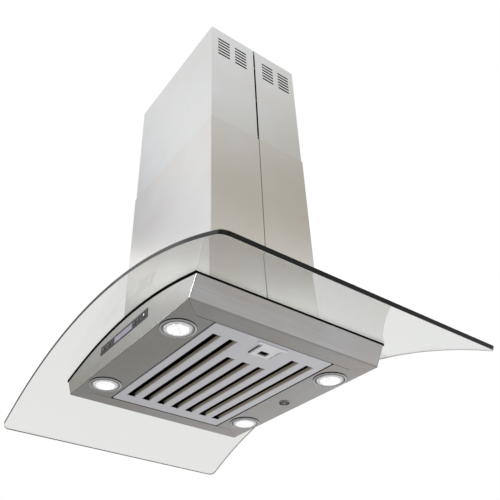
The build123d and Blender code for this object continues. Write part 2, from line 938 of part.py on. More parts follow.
def damper_pin():
    half = collar_radius - collar_sheet - bush_gap
    return bar_x(damper_pin_radius, -half, half, collar_y, damper_pin_z)


def damper_flap(first_knuckle):
    """Half-round flap on the -Y side of the pin, with two rolled knuckles."""
    radius = collar_radius - collar_sheet - damper_rim_gap
    clear = knuckle_radius + damper_gap + bush_gap
    low = damper_pin_z - knuckle_radius
    outline = Circle(radius) & Pos(0, -clear - radius) * Rectangle(4 * radius, 2 * radius)
    flap = prism_z(outline, low, low + damper_sheet)
    for x in (first_knuckle, first_knuckle + 2 * knuckle_pitch):
        half = knuckle_length / 2
        flap += block(x - half, x + half, -clear - bend, 0, low, low + damper_sheet)
        flap += bar_x(knuckle_radius, x - half, x + half, 0, damper_pin_z)
    flap -= bar_x(damper_pin_radius + shaft_clearance, -radius, radius, 0, damper_pin_z)
    return Pos(0, collar_y, 0) * flap


def other_flap(flap):
    """The second flap is the first one turned half round about the collar's axis."""
    return flap.rotate(Axis((0, collar_y, 0), (0, 0, 1)), 180)


# Lamps, plug and controls


def lamp_ring():
    """Trim ring: a sleeve through the strip, a bezel, a groove and a coned flange."""
    sleeve_out = lamp_hole_radius - lamp_gap
    sleeve_in = sleeve_out - lamp_sleeve
    step = lamp_sleeve + lamp_gap
    bezel = sleeve_in + lamp_bezel
    profile = make_face(
        Polyline(
            (sleeve_in, -lamp_ring_drop),
            (bezel, -lamp_ring_drop),
            (bezel, -lamp_ring_edge),
            (bezel + lamp_groove, -lamp_ring_edge),
            (bezel + lamp_groove, lamp_gap - lamp_ring_drop),
            (lamp_ring_radius - step, -2 * lamp_ring_edge),
            (lamp_ring_radius, -lamp_ring_edge),
            (lamp_ring_radius, 0),
            (sleeve_out, 0),
            (sleeve_out, lamp_sleeve_height),
            (sleeve_in, lamp_sleeve_height),
            close=True,
        )
    )
    return revolve(Plane.XZ * profile, Axis.Z)


def lamp_inner_radius():
    return lamp_hole_radius - lamp_sleeve - 2 * lamp_gap


def lamp_lens():
    """Frosted lens with a domed face."""
    radius = lamp_inner_radius()
    low = lens_top - lens_edge - lens_dome
    dome_radius = (radius**2 + lens_dome**2) / (2 * lens_dome)
    return drum(radius, low, lens_top) & Pos(0, 0, low + dome_radius) * Sphere(dome_radius)


def lamp_can():
    can = drum(lamp_inner_radius(), lens_top, lens_top + lamp_can_height)
    return fillet(can.edges().group_by(Axis.Z)[-1], 2 * bend)


def panel_plug():
    plug = drum(plug_radius, -plug_drop, 0)
    plug = fillet(plug.edges().group_by(Axis.Z)[0], plug_drop / 2)
    plug += drum(plug_stem_radius, 0, plug_stem_height)
    for number in range(plug_groove_count):
        outer = plug_radius - (number + 1) * plug_groove_pitch + plug_groove
        plug -= prism_z(Circle(outer) - Circle(outer - plug_groove), -plug_drop, -plug_drop / 2)
    return Pos(0, lamp_y, 0) * plug


def lamp_driver():
    outline = RectangleRounded(driver_length, driver_depth, bend)
    return Pos(0, -lamp_y, 0) * prism_z(outline, sheet, sheet + driver_height)


def front_block(half_x, half_z, y0, y1):
    """A block centred on the control fascia, between two depths."""
    return block(-half_x, half_x, y0, y1, fascia_z - half_z, fascia_z + half_z)


def control_fascia():
    half_x, half_z = fascia_length / 2, fascia_height / 2
    fascia = front_block(half_x, half_z, front_y - fascia_proud, fascia_back)
    fascia += front_block(half_x + fascia_flange, half_z + fascia_flange, wall_y, fascia_back)
    fascia -= front_block(window_length / 2, window_height / 2, front_y - sheet, fascia_back)
    for x in key_places:
        fascia -= bar_y(key_radius + fascia_gap, front_y - sheet, fascia_back, x, fascia_z)
    boss_x, boss_z = board_length / 2 - boss_radius, board_height / 2 - boss_radius
    for x in (-boss_x, boss_x):
        for z in (-boss_z, boss_z):
            fascia += bar_y(boss_radius, fascia_back, board_front, x, fascia_z + z)
    return fascia


def display_window():
    half_x, half_z = window_length / 2 - fascia_gap, window_height / 2 - fascia_gap
    pane = front_block(half_x, half_z, front_y - fascia_proud + window_set_back, fascia_back)
    half_x, half_z = window_length / 2 + window_flange, window_height / 2 + window_flange
    return pane + front_block(half_x, half_z, fascia_back, fascia_back + window_flange)


def push_key(x):
    """Round key: a domed cap, a flange behind the fascia and a stem towards its switch."""
    tip = front_y - fascia_proud - key_proud
    stem_end = board_front - switch_height - key_travel - key_spare
    key = bar_y(key_radius, tip, key_back, x, fascia_z)
    key = fillet(key.edges().filter_by(GeomType.CIRCLE).group_by(Axis.Y)[0], key_round)
    key += bar_y(key_radius + key_flange, key_back, key_back + key_flange, x, fascia_z)
    return key + bar_y(key_stem_radius, key_back, stem_end, x, fascia_z)


def control_board():
    board = front_block(board_length / 2, board_height / 2, board_front, board_front + board_sheet)
    switch = Pos(0, board_front - switch_height / 2, fascia_z) * Box(switch_size, switch_height, switch_size)
    return board + [Pos(x, 0, 0) * switch for x in key_places]


# Filter and latch


def slot_rows_y():
    """Row number, middle line and right end of each filter slot."""
    left = -slot_length / 2
    for row in range(-slot_rows, slot_rows + 1):
        length = short_slot_length if abs(row) <= short_rows else slot_length
        yield row, row * slot_pitch, left + length


def flap_profile():
    """Section of one folded-up slot edge, on the +Y side of the slot's middle line."""
    rise, run = flap_rise, flap_run
    slant = math.hypot(rise, run)
    edge = slot_width / 2
    tip_y, tip_z = filter_sheet * rise / slant, filter_sheet * run / slant
    foot = filter_sheet * slant / rise
    return make_face(
        Polyline(
            (edge, 0), (edge - run, rise), (edge - run + tip_y, rise + tip_z), (edge + foot, 0), close=True
        )
    )


def filter_plate():
    """Pan with seven slots whose edges are folded up, hinge tabs, and ribs and slits beside the latch."""
    outer = extrude(RectangleRounded(filter_length, filter_depth, filter_corner), filter_height)
    outer = fillet(outer.edges().group_by(Axis.Z)[0], filter_bend)
    thin = 2 * filter_sheet
    inner = RectangleRounded(filter_length - thin, filter_depth - thin, filter_corner - filter_sheet)
    inner = prism_z(inner, filter_sheet, filter_height)
    pan = outer - fillet(inner.edges().group_by(Axis.Z)[0], filter_bend - filter_sheet)
    left = -slot_length / 2
    half = slot_width / 2
    cuts = []
    flaps = []
    for _, y, right in slot_rows_y():
        cuts.append(block(left, right, y - half, y + half, -filter_sheet, thin))
        flap = section_yz(flap_profile(), left + flap_end_gap, right - flap_end_gap)
        flaps += [Pos(0, y, 0) * flap, Pos(0, y, 0) * flap.mirror(Plane.XZ)]
    pan -= cuts
    pan += flaps
    edge = filter_length / 2
    for y in (-tab_y, tab_y):
        pan += block(
            -edge - tab_reach,
            -bay_end,
            y - tab_width / 2,
            y + tab_width / 2,
            tab_height,
            tab_height + filter_sheet,
        )
    cup_half = cup_width / 2 + cup_wall + cup_gap
    cup_start = cup_left - cup_wall - latch_travel - cup_gap
    cup_end = cup_left + cup_length + cup_wall + cup_gap
    pan -= block(cup_start, cup_end, -cup_half, cup_half, -filter_sheet, thin)
    half_tongue = latch_tongue_width / 2 + tab_gap
    low, high = tongue_low - tab_gap, tongue_low + tongue_thickness + tab_gap
    pan -= block(bay_end - filter_sheet, edge + filter_sheet, -half_tongue, half_tongue, low, high)
    rib_y = latch_stem_width / 2 + rib_gap
    rib_end = latch_neck - latch_travel - rib_gap
    rib = block(latch_left, rib_end, rib_y, rib_y + rib_width, -latch_gap - latch_sheet, filter_sheet)
    slit = block(latch_left, rib_end, latch_stem_width / 2, rib_y, -filter_sheet, thin)
    pan -= [slit, slit.mirror(Plane.XZ)]
    return pan + [rib, rib.mirror(Plane.XZ)]


def filter_baffles():
    """Inverted channels over the slots, which turn the air back on itself."""
    half = baffle_width / 2
    inner = half - filter_sheet
    channel = make_face(
        Polyline(
            (-half, baffle_bottom),
            (-inner, baffle_bottom),
            (-inner, baffle_top - filter_sheet),
            (inner, baffle_top - filter_sheet),
            (inner, baffle_bottom),
            (half, baffle_bottom),
            (half, baffle_top),
            (-half, baffle_top),
            close=True,
        )
    )
    baffles = []
    for row, y, _ in slot_rows_y():
        right = bay_wall_x if abs(row) <= short_rows else bay_end
        baffles.append(Pos(0, y, 0) * section_yz(channel, -bay_end, right))
    return baffles


def latch_housing():
    """Folded wall round the latch, which also ends the short baffles."""
    right = bay_end - (filter_bend - filter_sheet)
    wall = block(bay_wall_x, right, -bay_wall_y, bay_wall_y, filter_sheet, baffle_top)
    inner_y = bay_wall_y - filter_sheet
    return wall - block(bay_wall_x + filter_sheet, filter_length, -inner_y, inner_y, 0, filter_height)


def filter_latch():
    """T-shaped slide with a finger cup and a bolt that passes the filter's rim."""
    face_low = -latch_gap - latch_sheet
    stem = Pos((latch_left + latch_neck) / 2, 0) * Rectangle(latch_neck - latch_left, latch_stem_width)
    head = Pos((latch_neck + latch_right) / 2, 0) * Rectangle(latch_right - latch_neck, latch_head_width)
    cup_x = cup_left + cup_length / 2
    window = Pos(cup_x, 0) * Rectangle(cup_length, cup_width)
    slide = prism_z(stem + head - window, face_low, -latch_gap)
    around = Pos(cup_x, 0) * Rectangle(cup_length + 2 * cup_wall, cup_width + 2 * cup_wall)
    slide += prism_z(around - window, -latch_gap, tongue_low)
    slide += prism_z(around, tongue_low - cup_wall, tongue_low)
    nose = filter_length / 2 + bolt_nose
    half = latch_tongue_width / 2
    bolt = block(cup_x, nose, -half, half, tongue_low, tongue_low + tongue_thickness)
    tip = bolt.edges().filter_by(Axis.Y).group_by(Axis.X)[-1].sort_by(Axis.Z)[0]
    return slide + chamfer(tip, nose_chamfer)


def latch_spring():
    """Folded leaf between the housing's wall and the finger cup."""
    start = bay_wall_x + filter_sheet + spring_sheet
    end = cup_left - cup_wall - spring_sheet
    step = (end - start) / spring_folds
    points = [(start + step * fold, spring_swing * (-1) ** fold) for fold in range(spring_folds + 1)]
    leaf = trace(Polyline(*points), spring_sheet)
    low = filter_sheet + latch_gap
    return prism_z(leaf, low, low + spring_width)


def main():
    os.makedirs("parts", exist_ok=True)

    shell = body_shell()
    plain_end = end_panel(shell)
    write("front_panel", front_panel(shell))
    write("rear_panel", rear_panel(shell))
    write("right_end_panel", right_end_panel(plain_end))
    write("left_end_panel", left_end_panel(plain_end))
    write("top_deck", top_deck())

    write("glass_seal", glass_seal())
    write("glass_canopy", glass_canopy())
    write("stud_bushes", group(at_studs(stud_bush())))
    write("stud_nuts", group(at_studs(stud_nut())))

    lower_front, lower_back = lower_covers()
    write("lower_cover_front", lower_front)
    write("lower_cover_back", lower_back)
    upper = upper_front()
    write("upper_cover_front", upper)
    write("upper_cover_back", upper_back(upper))
    write("upper_cover_screws", group(upper_cover_screws()))

    write("ceiling_bracket", ceiling_bracket())
    write("upper_uprights", group(four_corners(upper_upright())))
    write("lower_uprights", group(four_corners(lower_upright())))
    write("frame_bolts", group(frame_bolts()))

    write("blower_box", blower_box())
    write("scroll_wrap", scroll_wrap())
    side = scroll_side()
    write("scroll_side_right", side)
    write("scroll_side_left", side.mirror(Plane.YZ))
    write("outlet_transition", outlet_transition())
    write("impeller_disc", impeller_disc())
    write("impeller_blades", group(impeller_blades()))
    ring = impeller_ring()
    write("impeller_rings", group([ring, ring.mirror(Plane.YZ)]))
    write("motor_shaft", motor_shaft())
    write("motor", motor())
    write("motor_bracket", motor_bracket())
    write("motor_capacitor", motor_capacitor())
    write("terminal_box", terminal_box())
    write("cable_gland", cable_gland())

    write("outlet_collar", outlet_collar())
    write("damper_pin", damper_pin())
    flap = damper_flap(-1.5 * knuckle_pitch)
    write("damper_flap_front", flap)
    write("damper_flap_rear", other_flap(flap))

    for number, (x, y) in enumerate(lamp_places(), start=1):
        write(f"lamp_ring_{number}", Pos(x, y, 0) * lamp_ring())
        write(f"lamp_lens_{number}", Pos(x, y, 0) * lamp_lens())
    write("lamp_cans", group([Pos(x, y, 0) * lamp_can() for x, y in lamp_places()]))
    write("lamp_driver", lamp_driver())
    write("panel_plug", panel_plug())

    write("control_fascia", control_fascia())
    write("display_window", display_window())
    write("control_board", control_board())
    for number, x in enumerate(key_places, start=1):
        write(f"key_{number}", push_key(x))

    write("filter_plate", filter_plate())
    write("filter_baffles", group(filter_baffles()))
    write("latch_housing", latch_housing())
    write("filter_latch", filter_latch())
    write("latch_spring", latch_spring())


main()
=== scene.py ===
import json
import math
from contextlib import contextmanager

import bmesh
import bpy
from bpy.props import FloatProperty, FloatVectorProperty, IntProperty, PointerProperty
from mathutils import Matrix, Vector

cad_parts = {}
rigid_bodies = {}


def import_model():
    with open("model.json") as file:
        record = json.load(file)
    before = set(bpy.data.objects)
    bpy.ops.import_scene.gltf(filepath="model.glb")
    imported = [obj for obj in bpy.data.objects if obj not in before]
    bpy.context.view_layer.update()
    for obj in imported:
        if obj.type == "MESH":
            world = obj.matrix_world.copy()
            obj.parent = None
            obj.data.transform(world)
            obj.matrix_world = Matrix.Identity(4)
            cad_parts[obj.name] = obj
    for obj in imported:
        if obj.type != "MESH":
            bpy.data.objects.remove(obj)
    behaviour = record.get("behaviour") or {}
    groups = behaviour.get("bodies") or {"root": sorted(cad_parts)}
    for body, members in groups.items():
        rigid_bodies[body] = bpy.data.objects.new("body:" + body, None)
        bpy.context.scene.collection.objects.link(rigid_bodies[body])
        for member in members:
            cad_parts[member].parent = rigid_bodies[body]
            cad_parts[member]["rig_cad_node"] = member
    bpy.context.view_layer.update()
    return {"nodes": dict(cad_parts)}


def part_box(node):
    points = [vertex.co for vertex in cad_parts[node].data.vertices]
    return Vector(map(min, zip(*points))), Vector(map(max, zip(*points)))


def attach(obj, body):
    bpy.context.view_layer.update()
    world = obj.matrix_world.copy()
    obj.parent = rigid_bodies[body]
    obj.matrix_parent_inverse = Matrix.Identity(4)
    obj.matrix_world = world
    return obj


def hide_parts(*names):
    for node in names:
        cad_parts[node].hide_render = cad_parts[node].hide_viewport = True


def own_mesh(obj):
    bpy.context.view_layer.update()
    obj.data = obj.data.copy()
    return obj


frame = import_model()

bl_info = {
    "name": "Island hood dresser",
    "version": (1, 0, 0),
    "blender": (4, 5, 0),
    "location": "View3D > Sidebar > Hood",
    "description": "Gives an island range hood its glass, lamps, keys, finishes and studio",
    "category": "Object",
}

NODES = frame["nodes"]
MM = 0.001
IMPELLER = [name for name in NODES if name.startswith("impeller_")]
# Points nearer to each other than this lie at one level
CLOSE = 0.05 * MM
# A face looks up if its normal rises at least this much
UPWARD = 0.5
# Sockets of a colour mix, by number because several of them share a name
FACTOR, FIRST, SECOND, MIXED = 0, 6, 7, 2


def linear(code):
    """Linear red, green and blue of an sRGB hex colour."""
    channels = [int(code[start:start + 2], 16) / 255 for start in (1, 3, 5)]
    return tuple(c / 12.92 if c <= 0.04045 else ((c + 0.055) / 1.055) ** 2.4 for c in channels)


def length(name, description, millimetres):
    """A size property, given in millimetres and kept in metres."""
    return FloatProperty(
        name=name, description=description, default=millimetres * MM, unit="LENGTH", precision=5
    )


def colour(name, description, code):
    """A colour property, given as an sRGB hex value and kept linear."""
    return FloatVectorProperty(
        name=name, description=description, default=linear(code), size=3, subtype="COLOR", min=0, max=1
    )


class HoodSizes(bpy.types.PropertyGroup):
    """Sizes of the pieces that are modelled here."""

    glass_radius: length("Glass radius", "Radius of the canopy's underside", 957)
    glass_thickness: length("Glass thickness", "Thickness of the canopy", 8)
    glass_corner: length("Glass corner", "Radius of the canopy's corners in plan", 15)
    glass_polish: length("Glass polish", "Width of the polished arris along the edges", 1.8)
    glass_steps: IntProperty(name="Glass steps", description="Facets over half of the arch", default=24)
    glass_density: FloatProperty(
        name="Glass density", description="Light lost per metre of glass", default=26.0
    )
    opening_gap: length("Opening gap", "Room between the blower box and the glass", 6)
    opening_corner: length("Opening corner", "Corner radius of the opening in the glass", 12)
    stud_hole: length("Stud hole", "Radius of the holes for the glass studs", 6)
    bush_radius: length("Bush radius", "Radius of the rubber bushes round the glass studs", 10)
    lip_stand: length("Seal lip stand", "How far the seal's lip stands off the body's walls", 0.6)
    lip_thickness: length("Seal lip thickness", "Thickness of the seal's lip", 1)
    lip_drop: length("Seal lip drop", "How far the seal's lip hangs over the walls' top edge", 0.9)
    lathe_steps: IntProperty(name="Turned steps", description="Facets round a turned piece", default=72)
    facet_steps: IntProperty(name="Lens facets", description="Facets round a lamp's lens", default=18)


class HoodColours(bpy.types.PropertyGroup):
    """Colours of the finishes."""

    upper_steel: colour("Upper cover", "Brushed stainless steel of the upper cover", "#E4E5E5")
    lower_steel: colour("Lower cover", "Brushed stainless steel of the lower cover", "#E2E1DF")
    body_steel: colour("Body steel", "Brushed stainless steel of the body's walls", "#E6E5E5")
    # Painted shade: the strips round the filter, under the body, are drawn in a darker steel than its walls,
    # and the strip under the controls darker still
    strip_painted_shade: colour("Strip steel", "Duller steel of the strips round the filter", "#AFAEAC")
    front_strip_painted_shade: colour("Front strip", "Dull steel of the strip under the controls", "#A9A9A5")
    filter_metal: colour("Filter", "Satin aluminium of the baffle filter", "#E0E1E6")
    fold_shade: colour("Slot folds", "Aluminium up the folded slot edges, in half shade", "#A99F8D")
    latch_metal: colour("Latch", "Satin steel of the filter's latch", "#F6F7FA")
    cup_shade: colour("Finger cup", "Inside of the latch's finger cup, in shade", "#3A3028")
    baffle_shade: colour("Baffles", "Underside of the upper baffles, dark in their own shade", "#100F0E")
    ring_metal: colour("Lamp ring", "Satin chrome of the lamp rings", "#BFC0C1")
    glass_tint: colour("Glass tint", "What the canopy lets through over a long way", "#808A6E")
    # Painted shade and light: the canopy's edges are drawn opaque, green-black on the front and right, pale
    # on the left and rear
    painted_glass_edge: colour("Glass edge", "Polished edge of the canopy", "#101412")
    # Partly the real frost of the ground arris and partly a painted highlight: the arris under the edges is
    # drawn near-white and opaque
    arris_frost_and_highlight: colour("Ground arris", "Frosted arris under the canopy's edges", "#F4F6F5")
    painted_lit_edge: colour("Lit glass edge", "Polished edge on the sides that catch the light", "#B4BAB6")
    seam_shade: colour("Seam", "Inside of the upper cover's open seam, in shade", "#6C6C6E")
    # Painted shade: the lower cover is drawn darker along both edges of its closed seam
    closed_seam_shade: colour("Hairline", "Edges of the lower cover along its closed seam", "#9A968E")
    seal: colour("Seal", "Black rubber seal", "#0B0B0C")
    lens: colour("Lens", "Lit middle of the lamps' lenses", "#FFFFFF")
    lens_rim: colour("Lens rim", "Prisms round the lit middle", "#E9EAEA")
    # Also used for the painted shade along the body's lips and the painted shadow beside the latch's ribs
    groove: colour("Groove", "Bottom of the turned grooves, in the dark", "#15151A")
    fascia: colour("Fascia", "Smoked acrylic of the control strip", "#444343")
    display: colour("Display", "Unlit liquid crystal display", "#CFCDE2")
    key: colour("Key", "Dark caps of the keys", "#2E2D2D")
    key_mark: colour("Key mark", "Printed dot on the keys", "#B9BAC0")
    key_light: colour("Key light", "Light of the key that is on", "#D8EEFF")
    galvanised: colour("Galvanised sheet", "Zinc spangle on the inner sheets", "#9FA3A6")
    zinc: colour("Zinc", "Zinc plated fasteners", "#C4C6C8")
    bare_aluminium: colour("Bare aluminium", "Mill finish of the impeller and dampers", "#C3C5C7")
    black_plastic: colour("Black plastic", "Moulded terminal box and gland", "#1A1A1B")
    white_plastic: colour("White plastic", "Moulded capacitor and driver", "#E2E1DC")
    motor_paint: colour("Motor paint", "Satin black paint of the motor", "#202124")
    board: colour("Board", "Lacquered circuit board", "#1E5A35")
    floor: colour("Floor", "Pale studio floor", "#C4C3C3")
    # Painted shade: the dark of a patch that only the eye sees, from below, at the chimney's top
    ceiling: colour("Ceiling", "Ceiling of the studio, in shade", "#202020")


# Node helpers and finishes


def add(tree, kind, inputs=None, **settings):
    """Adds a node. inputs maps each socket to a value, or to the node or socket that feeds it.

    A node feeds from its first output.
    """
    node = tree.nodes.new(kind)
    for key, value in settings.items():
        setattr(node, key, value)
    for key, value in (inputs or {}).items():
        if isinstance(value, bpy.types.Node):
            value = value.outputs[0]
        if isinstance(value, bpy.types.NodeSocket):
            tree.links.new(value, node.inputs[key])
        else:
            node.inputs[key].default_value = value
    return node


def blank_material(name):
    """A material that holds no more than the object coordinates that its pattern reads."""
    material = bpy.data.materials.new(name)
    material.use_nodes = True
    tree = material.node_tree
    tree.nodes.clear()
    place = add(tree, "ShaderNodeTexCoord").outputs["Object"]
    return material, tree, place


def close_material(tree, inputs):
    """Ends a material with one principled shader."""
    shader = add(tree, "ShaderNodeBsdfPrincipled", inputs)
    add(tree, "ShaderNodeOutputMaterial", {"Surface": shader})


def rgba(value):
    """A colour with its alpha."""
    return (*value, 1.0)


def shaded(value, factor):
    """A lighter or darker shade of a colour."""
    return rgba([min(1.0, channel * factor) for channel in value])


def mottled(tree, place, value, size, low, high):
    """Colour that wanders between two shades of itself in patches of a size, and its pattern."""
    pattern = add(tree, "ShaderNodeTexNoise", {"Vector": place, "Scale": 1 / size, "Detail": 2.0})
    shades = {FACTOR: pattern, FIRST: shaded(value, low), SECOND: shaded(value, high)}
    tone = add(tree, "ShaderNodeMix", shades, data_type="RGBA")
    return tone.outputs[MIXED], pattern


def overlap(tree, masks):
    """Mask of the places where all of some masks hold."""
    whole = 1.0
    for mask in masks:
        whole = add(tree, "ShaderNodeMath", {0: whole, 1: mask}, operation="MULTIPLY")
    return whole


def brushed_steel(name, value, grain, line, depth, mottle, shades):
    """Stainless sheet with a belt-brushed finish: fine parallel lines, softly smeared reflections.

    Real lines are about 0.1 mm wide. They are drawn line wide, so that they show in a picture. depth is how
    strongly they show, and mottle how much the sheet's tone wanders from place to place.
    Each of shades is the colour of painted shade on a fold, lip, seam or strip, with its limits: an axis,
    and the distances from the part's origin along it where the shade sets in and where it is full.
    """
    material, tree, place = blank_material(name)
    run = 90 * line
    cloud = 130 * MM
    roughness = 0.2
    uneven = 0.2 * depth
    scale = [1 / line] * 3
    scale["XYZ".index(grain)] = 1 / run
    stretched = add(tree, "ShaderNodeMapping", {"Vector": place, "Scale": scale})
    lines = add(tree, "ShaderNodeTexNoise", {"Vector": stretched, "Scale": 1.0, "Detail": 3.0})
    patches = add(tree, "ShaderNodeTexNoise", {"Vector": place, "Scale": 1 / cloud, "Detail": 2.0})
    clouds = add(tree, "ShaderNodeMapRange", {"Value": patches, "From Min": 0.35, "From Max": 0.65})
    sheet = rgba(value)
    away = add(tree, "ShaderNodeVectorMath", {0: place}, operation="ABSOLUTE")
    axes = add(tree, "ShaderNodeSeparateXYZ", {"Vector": away})
    for shade, *limits in shades:
        masks = []
        for axis, start, end in limits:
            reading = axes.outputs[axis]
            limit = {"Value": reading, "From Min": start, "From Max": end}
            masks.append(add(tree, "ShaderNodeMapRange", limit))
        dark = {FACTOR: overlap(tree, masks), FIRST: sheet, SECOND: rgba(shade)}
        shade_mixed = add(tree, "ShaderNodeMix", dark, data_type="RGBA")
        sheet = shade_mixed.outputs[MIXED]
    warm = [1 - mottle * loss for loss in (0.02, 0.035, 0.05)]
    cool = [1 + mottle * gain for gain in (0.0, 0.01, 0.02)]
    bare = [1] * 3
    scored = [1 - depth] * 3
    for pattern, low, high in ((clouds, warm, cool), (lines, bare, scored)):
        tints = {FACTOR: pattern, FIRST: rgba(low), SECOND: rgba(high)}
        layer = add(tree, "ShaderNodeMix", tints, data_type="RGBA")
        both = {FACTOR: 1.0, FIRST: sheet, SECOND: layer.outputs[MIXED]}
        toned = add(tree, "ShaderNodeMix", both, data_type="RGBA", blend_type="MULTIPLY")
        sheet = toned.outputs[MIXED]
    rough = add(
        tree, "ShaderNodeMapRange",
        {"Value": lines, "To Min": roughness - uneven, "To Max": roughness + uneven},
    )
    bump = add(tree, "ShaderNodeBump", {"Height": lines, "Strength": 0.1, "Distance": 0.01 * MM})
    close_material(tree, {
        "Base Color": sheet,
        "Metallic": 1.0,
        "Roughness": rough,
        "Normal": bump,
    })
    return material


def satin_metal(name, value, roughness, shade=None):
    """Metal with a fine even grain, as left by blasting or satin plating: soft, slightly mottled.

    shade is the colour of the faces that look down or sideways into their own dark.
    """
    material, tree, place = blank_material(name)
    grain = 1.1 * MM
    mottle = 35 * MM
    fine = add(tree, "ShaderNodeTexNoise", {"Vector": place, "Scale": 1 / grain, "Detail": 2.0})
    tone, _ = mottled(tree, place, value, mottle, low=0.94, high=1.05)
    if shade:
        facing = add(tree, "ShaderNodeSeparateXYZ", {"Vector": place.node.outputs["Normal"]})
        down = add(tree, "ShaderNodeMath", {0: facing.outputs["Z"], 1: UPWARD}, operation="LESS_THAN")
        dark = {FACTOR: down, FIRST: tone, SECOND: rgba(shade)}
        shade_mixed = add(tree, "ShaderNodeMix", dark, data_type="RGBA")
        tone = shade_mixed.outputs[MIXED]
    rough = add(
        tree, "ShaderNodeMapRange",
        {"Value": fine, "To Min": roughness - 0.06, "To Max": roughness + 0.08},
    )
    bump = add(tree, "ShaderNodeBump", {"Height": fine, "Strength": 0.2, "Distance": 0.02 * MM})
    close_material(tree, {
        "Base Color": tone,
        "Metallic": 1.0,
        "Roughness": rough,
        "Normal": bump,
    })
    return material


def filter_sheet(name, value, shade, base, field, ribs, shadow):
    """Satin metal pressing: pale and finely grained on its face, with painted shade up its folded edges.

    base is the height of the face, and the slots lie within field of the middle. Beside the two ribs along
    the latch, the sheet is in their shadow.
    """
    material, tree, place = blank_material(name)
    grain = 1.2 * MM
    fold_start = base + 0.8 * MM
    fold_end = base + 2 * MM
    tone, fine = mottled(tree, place, value, grain, low=0.93, high=1.06)
    axes = add(tree, "ShaderNodeSeparateXYZ", {"Vector": place})
    height = axes.outputs["Z"]
    rise = add(tree, "ShaderNodeMapRange", {"Value": height, "From Min": fold_start, "From Max": fold_end})
    away = add(tree, "ShaderNodeVectorMath", {0: place}, operation="ABSOLUTE")
    spread = add(tree, "ShaderNodeSeparateXYZ", {"Vector": away})
    facing = add(tree, "ShaderNodeSeparateXYZ", {"Vector": place.node.outputs["Normal"]})
    folds = [rise]
    readings = spread.outputs["X"], spread.outputs["Y"], facing.outputs["Z"]
    for reading, limit in zip(readings, (*field, UPWARD)):
        folds.append(add(tree, "ShaderNodeMath", {0: reading, 1: limit}, operation="LESS_THAN"))
    beside = []
    for along, (spot, half) in zip((axes.outputs["X"], spread.outputs["Y"]), ribs):
        beside.append(add(tree, "ShaderNodeMath", {0: along, 1: spot, 2: half}, operation="COMPARE"))
    # Painted shade up the folds that look down or sideways, and a painted shadow beside the ribs
    for masks, painted_shade in ((folds, shade), (beside, shadow)):
        dark = {FACTOR: overlap(tree, masks), FIRST: tone, SECOND: rgba(painted_shade)}
        shade_mixed = add(tree, "ShaderNodeMix", dark, data_type="RGBA")
        tone = shade_mixed.outputs[MIXED]
    bump = add(tree, "ShaderNodeBump", {"Height": fine, "Strength": 0.2, "Distance": 0.03 * MM})
    close_material(tree, {
        "Base Color": tone,
        "Metallic": 0.8,
        "Roughness": 0.4,
        "Normal": bump,
    })
    return material


def galvanised_steel(name, value):
    """Hot-dip galvanised sheet: flat zinc crystals about 12 mm wide, each with its own grey and gloss."""
    material, tree, place = blank_material(name)
    crystal = 12 * MM
    spangle = add(tree, "ShaderNodeTexVoronoi", {"Vector": place, "Scale": 1 / crystal, "Randomness": 1.0})
    cell = add(tree, "ShaderNodeSeparateColor", {"Color": spangle.outputs["Color"]})
    shades = {FACTOR: cell.outputs["Red"], FIRST: shaded(value, 0.82), SECOND: shaded(value, 1.1)}
    tone = add(tree, "ShaderNodeMix", shades, data_type="RGBA")
    rough = add(tree, "ShaderNodeMapRange", {"Value": cell.outputs["Green"], "To Min": 0.34, "To Max": 0.55})
    close_material(tree, {"Base Color": tone.outputs[MIXED], "Metallic": 1.0, "Roughness": rough})
    return material


def matt_finish(name, value, roughness, gloss=0.5):
    """Dull surface with a grain of about 0.8 mm: moulded plastic or rubber, satin paint, ground glass."""
    material, tree, place = blank_material(name)
    grain = 0.8 * MM
    tone, fine = mottled(tree, place, value, grain, low=0.9, high=1.08)
    bump = add(tree, "ShaderNodeBump", {"Height": fine, "Strength": 0.3, "Distance": 0.05 * MM})
    close_material(tree, {
        "Base Color": tone,
        "Roughness": roughness,
        "Specular IOR Level": gloss,
        "Normal": bump,
    })
    return material


def canopy_glass(name, value, density):
    """Float glass, bent and toughened: clear and glossy, and faintly green where light goes a long way."""
    material, tree, _ = blank_material(name)
    surface = add(tree, "ShaderNodeBsdfPrincipled", {
        "Base Color": (1, 1, 1, 1),
        "Roughness": 0.0,
        "IOR": 1.5,
        "Transmission Weight": 1.0,
    })
    body = add(tree, "ShaderNodeVolumeAbsorption", {"Color": rgba(value), "Density": density})
    add(tree, "ShaderNodeOutputMaterial", {"Surface": surface, "Volume": body})
    return material


def painted_glass_edge(name, value):
    """Polished edge of thick glass, drawn opaque: painted green-black shade where it looks into the sheet,
    painted pale light on the sides taken as lit.
    """
    material, tree, place = blank_material(name)
    wave = 40 * MM
    tone, _ = mottled(tree, place, value, wave, low=0.7, high=1.3)
    close_material(tree, {"Base Color": tone, "Roughness": 0.06, "Specular IOR Level": 0.2})
    return material


def lit_lens(name, value, strength):
    """Moulded lens over a lit lamp: bright cells between faintly darker prism edges."""
    material, tree, place = blank_material(name)
    prism = 4.5 * MM
    cells = add(
        tree, "ShaderNodeTexVoronoi", {"Vector": place, "Scale": 1 / prism}, feature="DISTANCE_TO_EDGE"
    )
    glow = add(
        tree, "ShaderNodeMapRange",
        {"Value": cells, "From Max": 0.25, "To Min": 0.45 * strength, "To Max": strength},
    )
    close_material(tree, {
        "Base Color": shaded(value, 0.25),
        "Roughness": 0.15,
        "Emission Color": rgba(value),
        "Emission Strength": glow,
    })
    return material


def gloss_panel(name, value, gloss=0.5, roughness=0.12):
    """Polished face over a faintly mottled print: acrylic panel, display window or lacquered board."""
    material, tree, place = blank_material(name)
    patch = 14 * MM
    tone, _ = mottled(tree, place, value, patch, low=0.86, high=1.12)
    close_material(tree, {"Base Color": tone, "Roughness": roughness, "Specular IOR Level": gloss})
    return material


